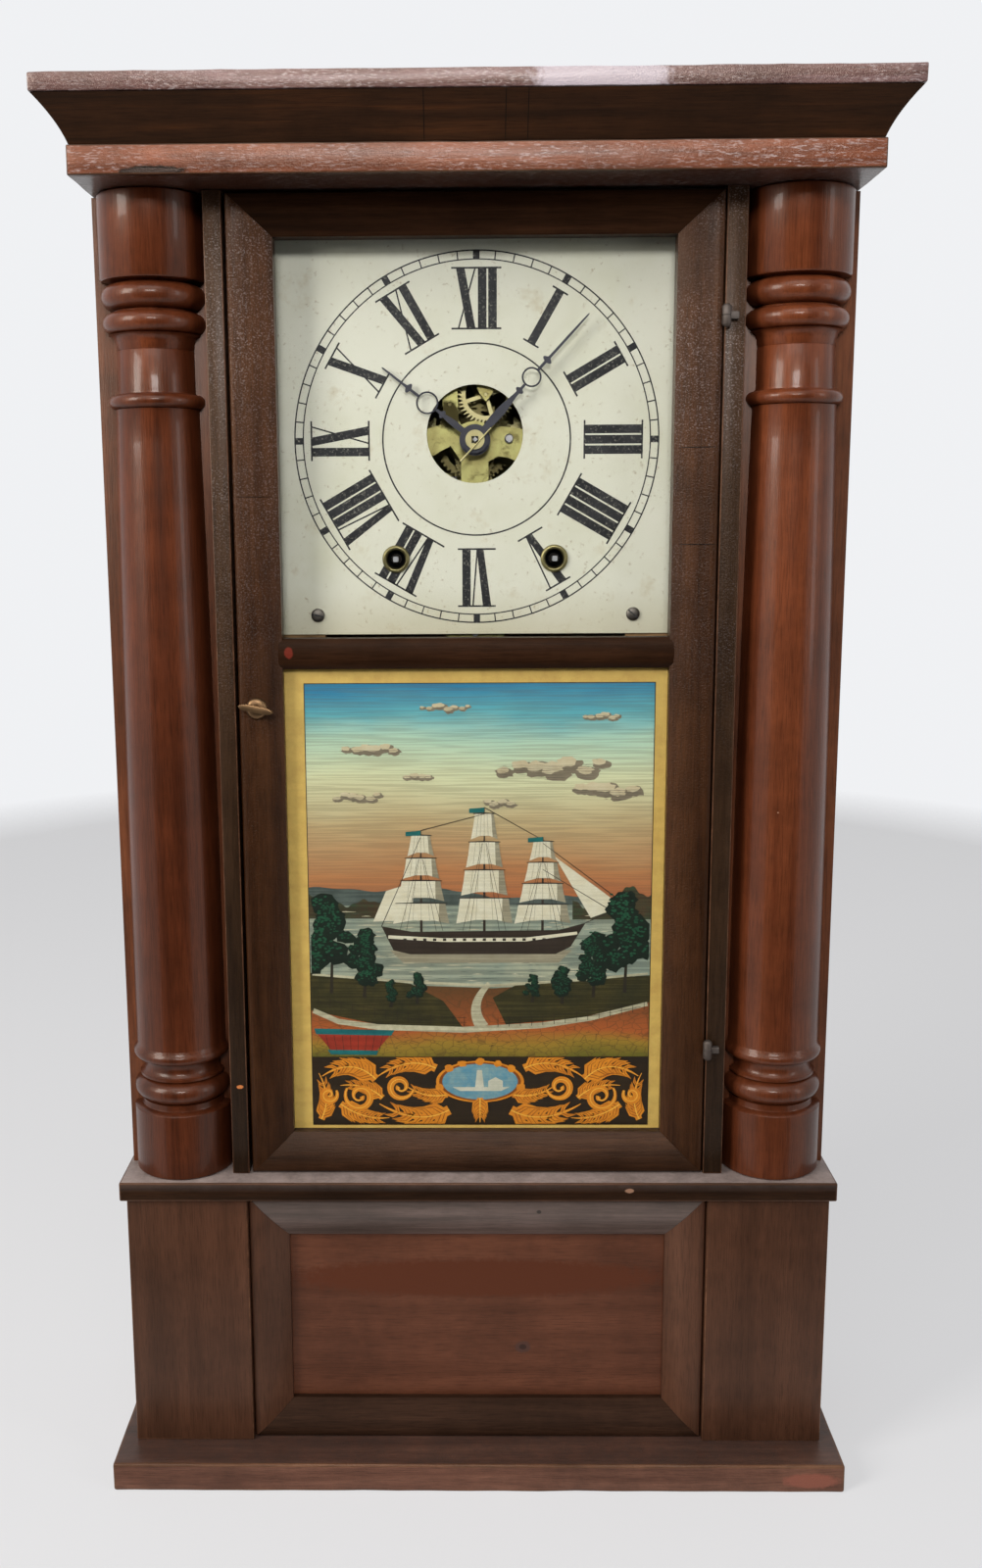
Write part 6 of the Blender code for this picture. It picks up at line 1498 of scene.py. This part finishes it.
def build_cords():
    """Braided cords: the run over the pulley, and the drop from it to the weight's eye."""
    finish = Finish("braided cord", (0.33, 0.26, 0.16), 0.9)
    twist = finish.add("TexWave", {"Vector": finish.place, "Scale": 320, "Distortion": 1.5},
                       bands_direction="DIAGONAL").outputs["Fac"]
    finish.colour(finish.mix(twist, (0.16, 0.12, 0.07), (0.42, 0.34, 0.22)))
    finish.bump(twist, 0.2)
    drum, drum_r = Vector((WINDING_X, WINDING_Z)), 10
    pulley, pulley_r = Vector((158, 744.7)), 12
    eye, lift = 190.4, 450
    run = pulley - drum
    side = math.atan2(run.y, run.x) + math.pi / 2 + math.asin((pulley_r - drum_r) / run.length)
    path = around(drum, drum_r, side + math.radians(120), side, 16) + around(pulley, pulley_r, side, 0, 20)
    for train, sign in (("time", 1), ("strike", -1)):
        over = [Vector((sign * place.x, -54, place.y)) * mm for place in path]
        top = over[-1]
        add_cord(f"{train}_cord_over", over, finish.material, [f"{train}_cord"])
        drop = [top] + [Vector((top.x, y * mm, z * mm)) for y, z in ((-50, 470), (-46, eye))]
        cord = add_cord(f"{train}_cord_drop", drop, finish.material, [])
        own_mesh(cord)


def add_cord(name, path, finish, instead_of):
    """A round cord of 2 mm along a path in metres."""
    curve = bpy.data.curves.new(name, "CURVE")
    curve.dimensions = "3D"
    line = curve.splines.new("POLY")
    line.points.add(len(path) - 1)
    for point, place in zip(line.points, path):
        point.co = (*place, 1)
    curve.bevel_depth = 1 * mm
    curve.bevel_resolution = 3
    curve.use_fill_caps = True
    made = new_object(name, curve)
    mesh = bpy.data.meshes.new_from_object(made.evaluated_get(bpy.context.evaluated_depsgraph_get()))
    bpy.data.objects.remove(made)
    mesh.materials.clear()
    mesh.materials.append(finish)
    mesh.shade_smooth()
    return belongs(new_object(name, mesh), "case", instead_of)


# Floor, lights and camera


def build_studio():
    """A pale floor that fades into a pale sky, a dark screen behind the camera and four lamps."""
    floor = pale_floor()
    screen = dark_screen()
    pale_sky()
    for name, place, aim_z, size, power, colour in (
            ("window_left", (-1.75, -1.35, 1.35), 0.5, (0.8, 1.2), 41.6, (1.0, 0.97, 0.93)),
            ("window_right", (1.9, -1.2, 1.0), 0.5, (0.4, 1.4), 6.5, (0.97, 0.98, 1.0)),
            ("front_light", (-0.05, -2.6, 1.6), 0.6, (0.85, 0.45), 33.6, (1.0, 0.98, 0.98)),
            ("overhead", (-0.2, -1.5, 2.3), 0.4, (1.6, 0.9), 11.2, (1.0, 1.0, 1.0))):
        light = bpy.data.lights.new(name, "AREA")
        light.shape = "RECTANGLE"
        light.size, light.size_y = size
        light.energy = power
        light.color = colour
        lamp = new_object(name, light)
        lamp.location = place
        lamp.rotation_euler = (Vector((0.0, -0.1, aim_z)) - Vector(place)).to_track_quat("-Z", "Y").to_euler()


def pale_floor():
    """A round floor; its rim melts into the background."""
    middle = (0, 0.9, 0)
    bm = bmesh.new()
    bmesh.ops.create_circle(bm, cap_ends=True, radius=1.8, segments=96)
    bmesh.ops.translate(bm, vec=middle, verts=bm.verts)
    floor = bpy.data.meshes.new("floor")
    bm.to_mesh(floor)
    bm.free()
    pale = Finish("pale floor", (0.80, 0.80, 0.81), 0.7, specular=0.2)
    pale.rough(pale.noise(3), 0.6, 0.8)
    reach = pale.vector("LENGTH", pale.vector("SUBTRACT", pale.place, middle), output="Value")
    glow = pale.add("Emission", {"Color": (0.79, 0.79, 0.80, 1), "Strength": 1.0})
    lit = pale.add("MixShader", {0: pale.math("MULTIPLY", pale.seen(), 0.6), 1: pale.shader.outputs[0],
                                 2: glow.outputs[0]})
    melt_away(pale, pale.share(reach, 1.16, 1.5), lit)
    floor.materials.append(pale.material)
    return new_object("floor", floor)


def dark_screen():
    """A dark cloth behind the camera, for the glass and varnish to mirror; the camera sees through it."""
    screen = bpy.data.meshes.new("dark_screen")
    screen.from_pydata([(x, -3.2, z) for x, z in ((-2.6, -2.4), (2.6, -2.4), (2.6, 2.6), (-2.6, 2.6))], [],
                       [(0, 1, 2, 3)])
    dark = Finish("dark screen cloth", (0.02, 0.018, 0.017), 0.9, specular=0.1)
    dark.rough(dark.noise(40), 0.8, 1.0)
    melt_away(dark, dark.add("LightPath").outputs["Is Camera Ray"], dark.shader)
    screen.materials.append(dark.material)
    return new_object("dark_screen", screen)


def melt_away(finish, amount, surface):
    """Let the background show through a stage surface by the given amount."""
    clear = finish.add("BsdfTransparent")
    finish.show(finish.add("MixShader", {0: amount, 1: surface.outputs[0], 2: clear.outputs[0]}))


def pale_sky():
    """The background that is seen is brighter than the one that lights the clock."""
    world = bpy.data.worlds.new("studio")
    bpy.context.scene.world = world
    world.use_nodes = True
    sky = Nodes(world.node_tree)
    back = sky.tree.nodes["Background"]
    back.inputs["Color"].default_value = (0.96, 0.97, 1.0, 1)
    back.inputs["Strength"].default_value = 0.224
    wall = sky.add("Background", {"Color": (0.87, 0.88, 0.90, 1), "Strength": 1.0})
    mix = sky.add("MixShader", {0: sky.seen(), 1: back.outputs[0], 2: wall.outputs[0]})
    sky.tree.links.new(mix.outputs[0], sky.tree.nodes["World Output"].inputs["Surface"])


def build_camera():
    """The photograph's own viewpoint, found by fitting the clock's edges."""
    right = Vector((0.999902, 0.012686, -0.005919))
    up = Vector((0.003701, 0.168226, 0.985742))
    ahead = Vector((-0.013501, 0.985667, -0.168163))
    camera = bpy.data.cameras.new("camera")
    camera.sensor_width = 36
    camera.lens = 33.05
    camera.shift_x = 0.0315
    camera.shift_y = -0.0121
    made = new_object("camera", camera)
    turn = Matrix((right, up, -ahead)).transposed().to_4x4()
    made.matrix_world = Matrix.Translation(Vector((-8.69, -939.84, 586.84)) * mm) @ turn
    bpy.context.scene.camera = made


build_camera()
build_base()
build_carcase()
build_cornice()
build_columns()
build_door()
build_hinges()
build_tablet()
build_dial()
build_hands()
build_movement()
build_cords()
build_studio()
bpy.context.scene.view_settings.view_transform = "Standard"
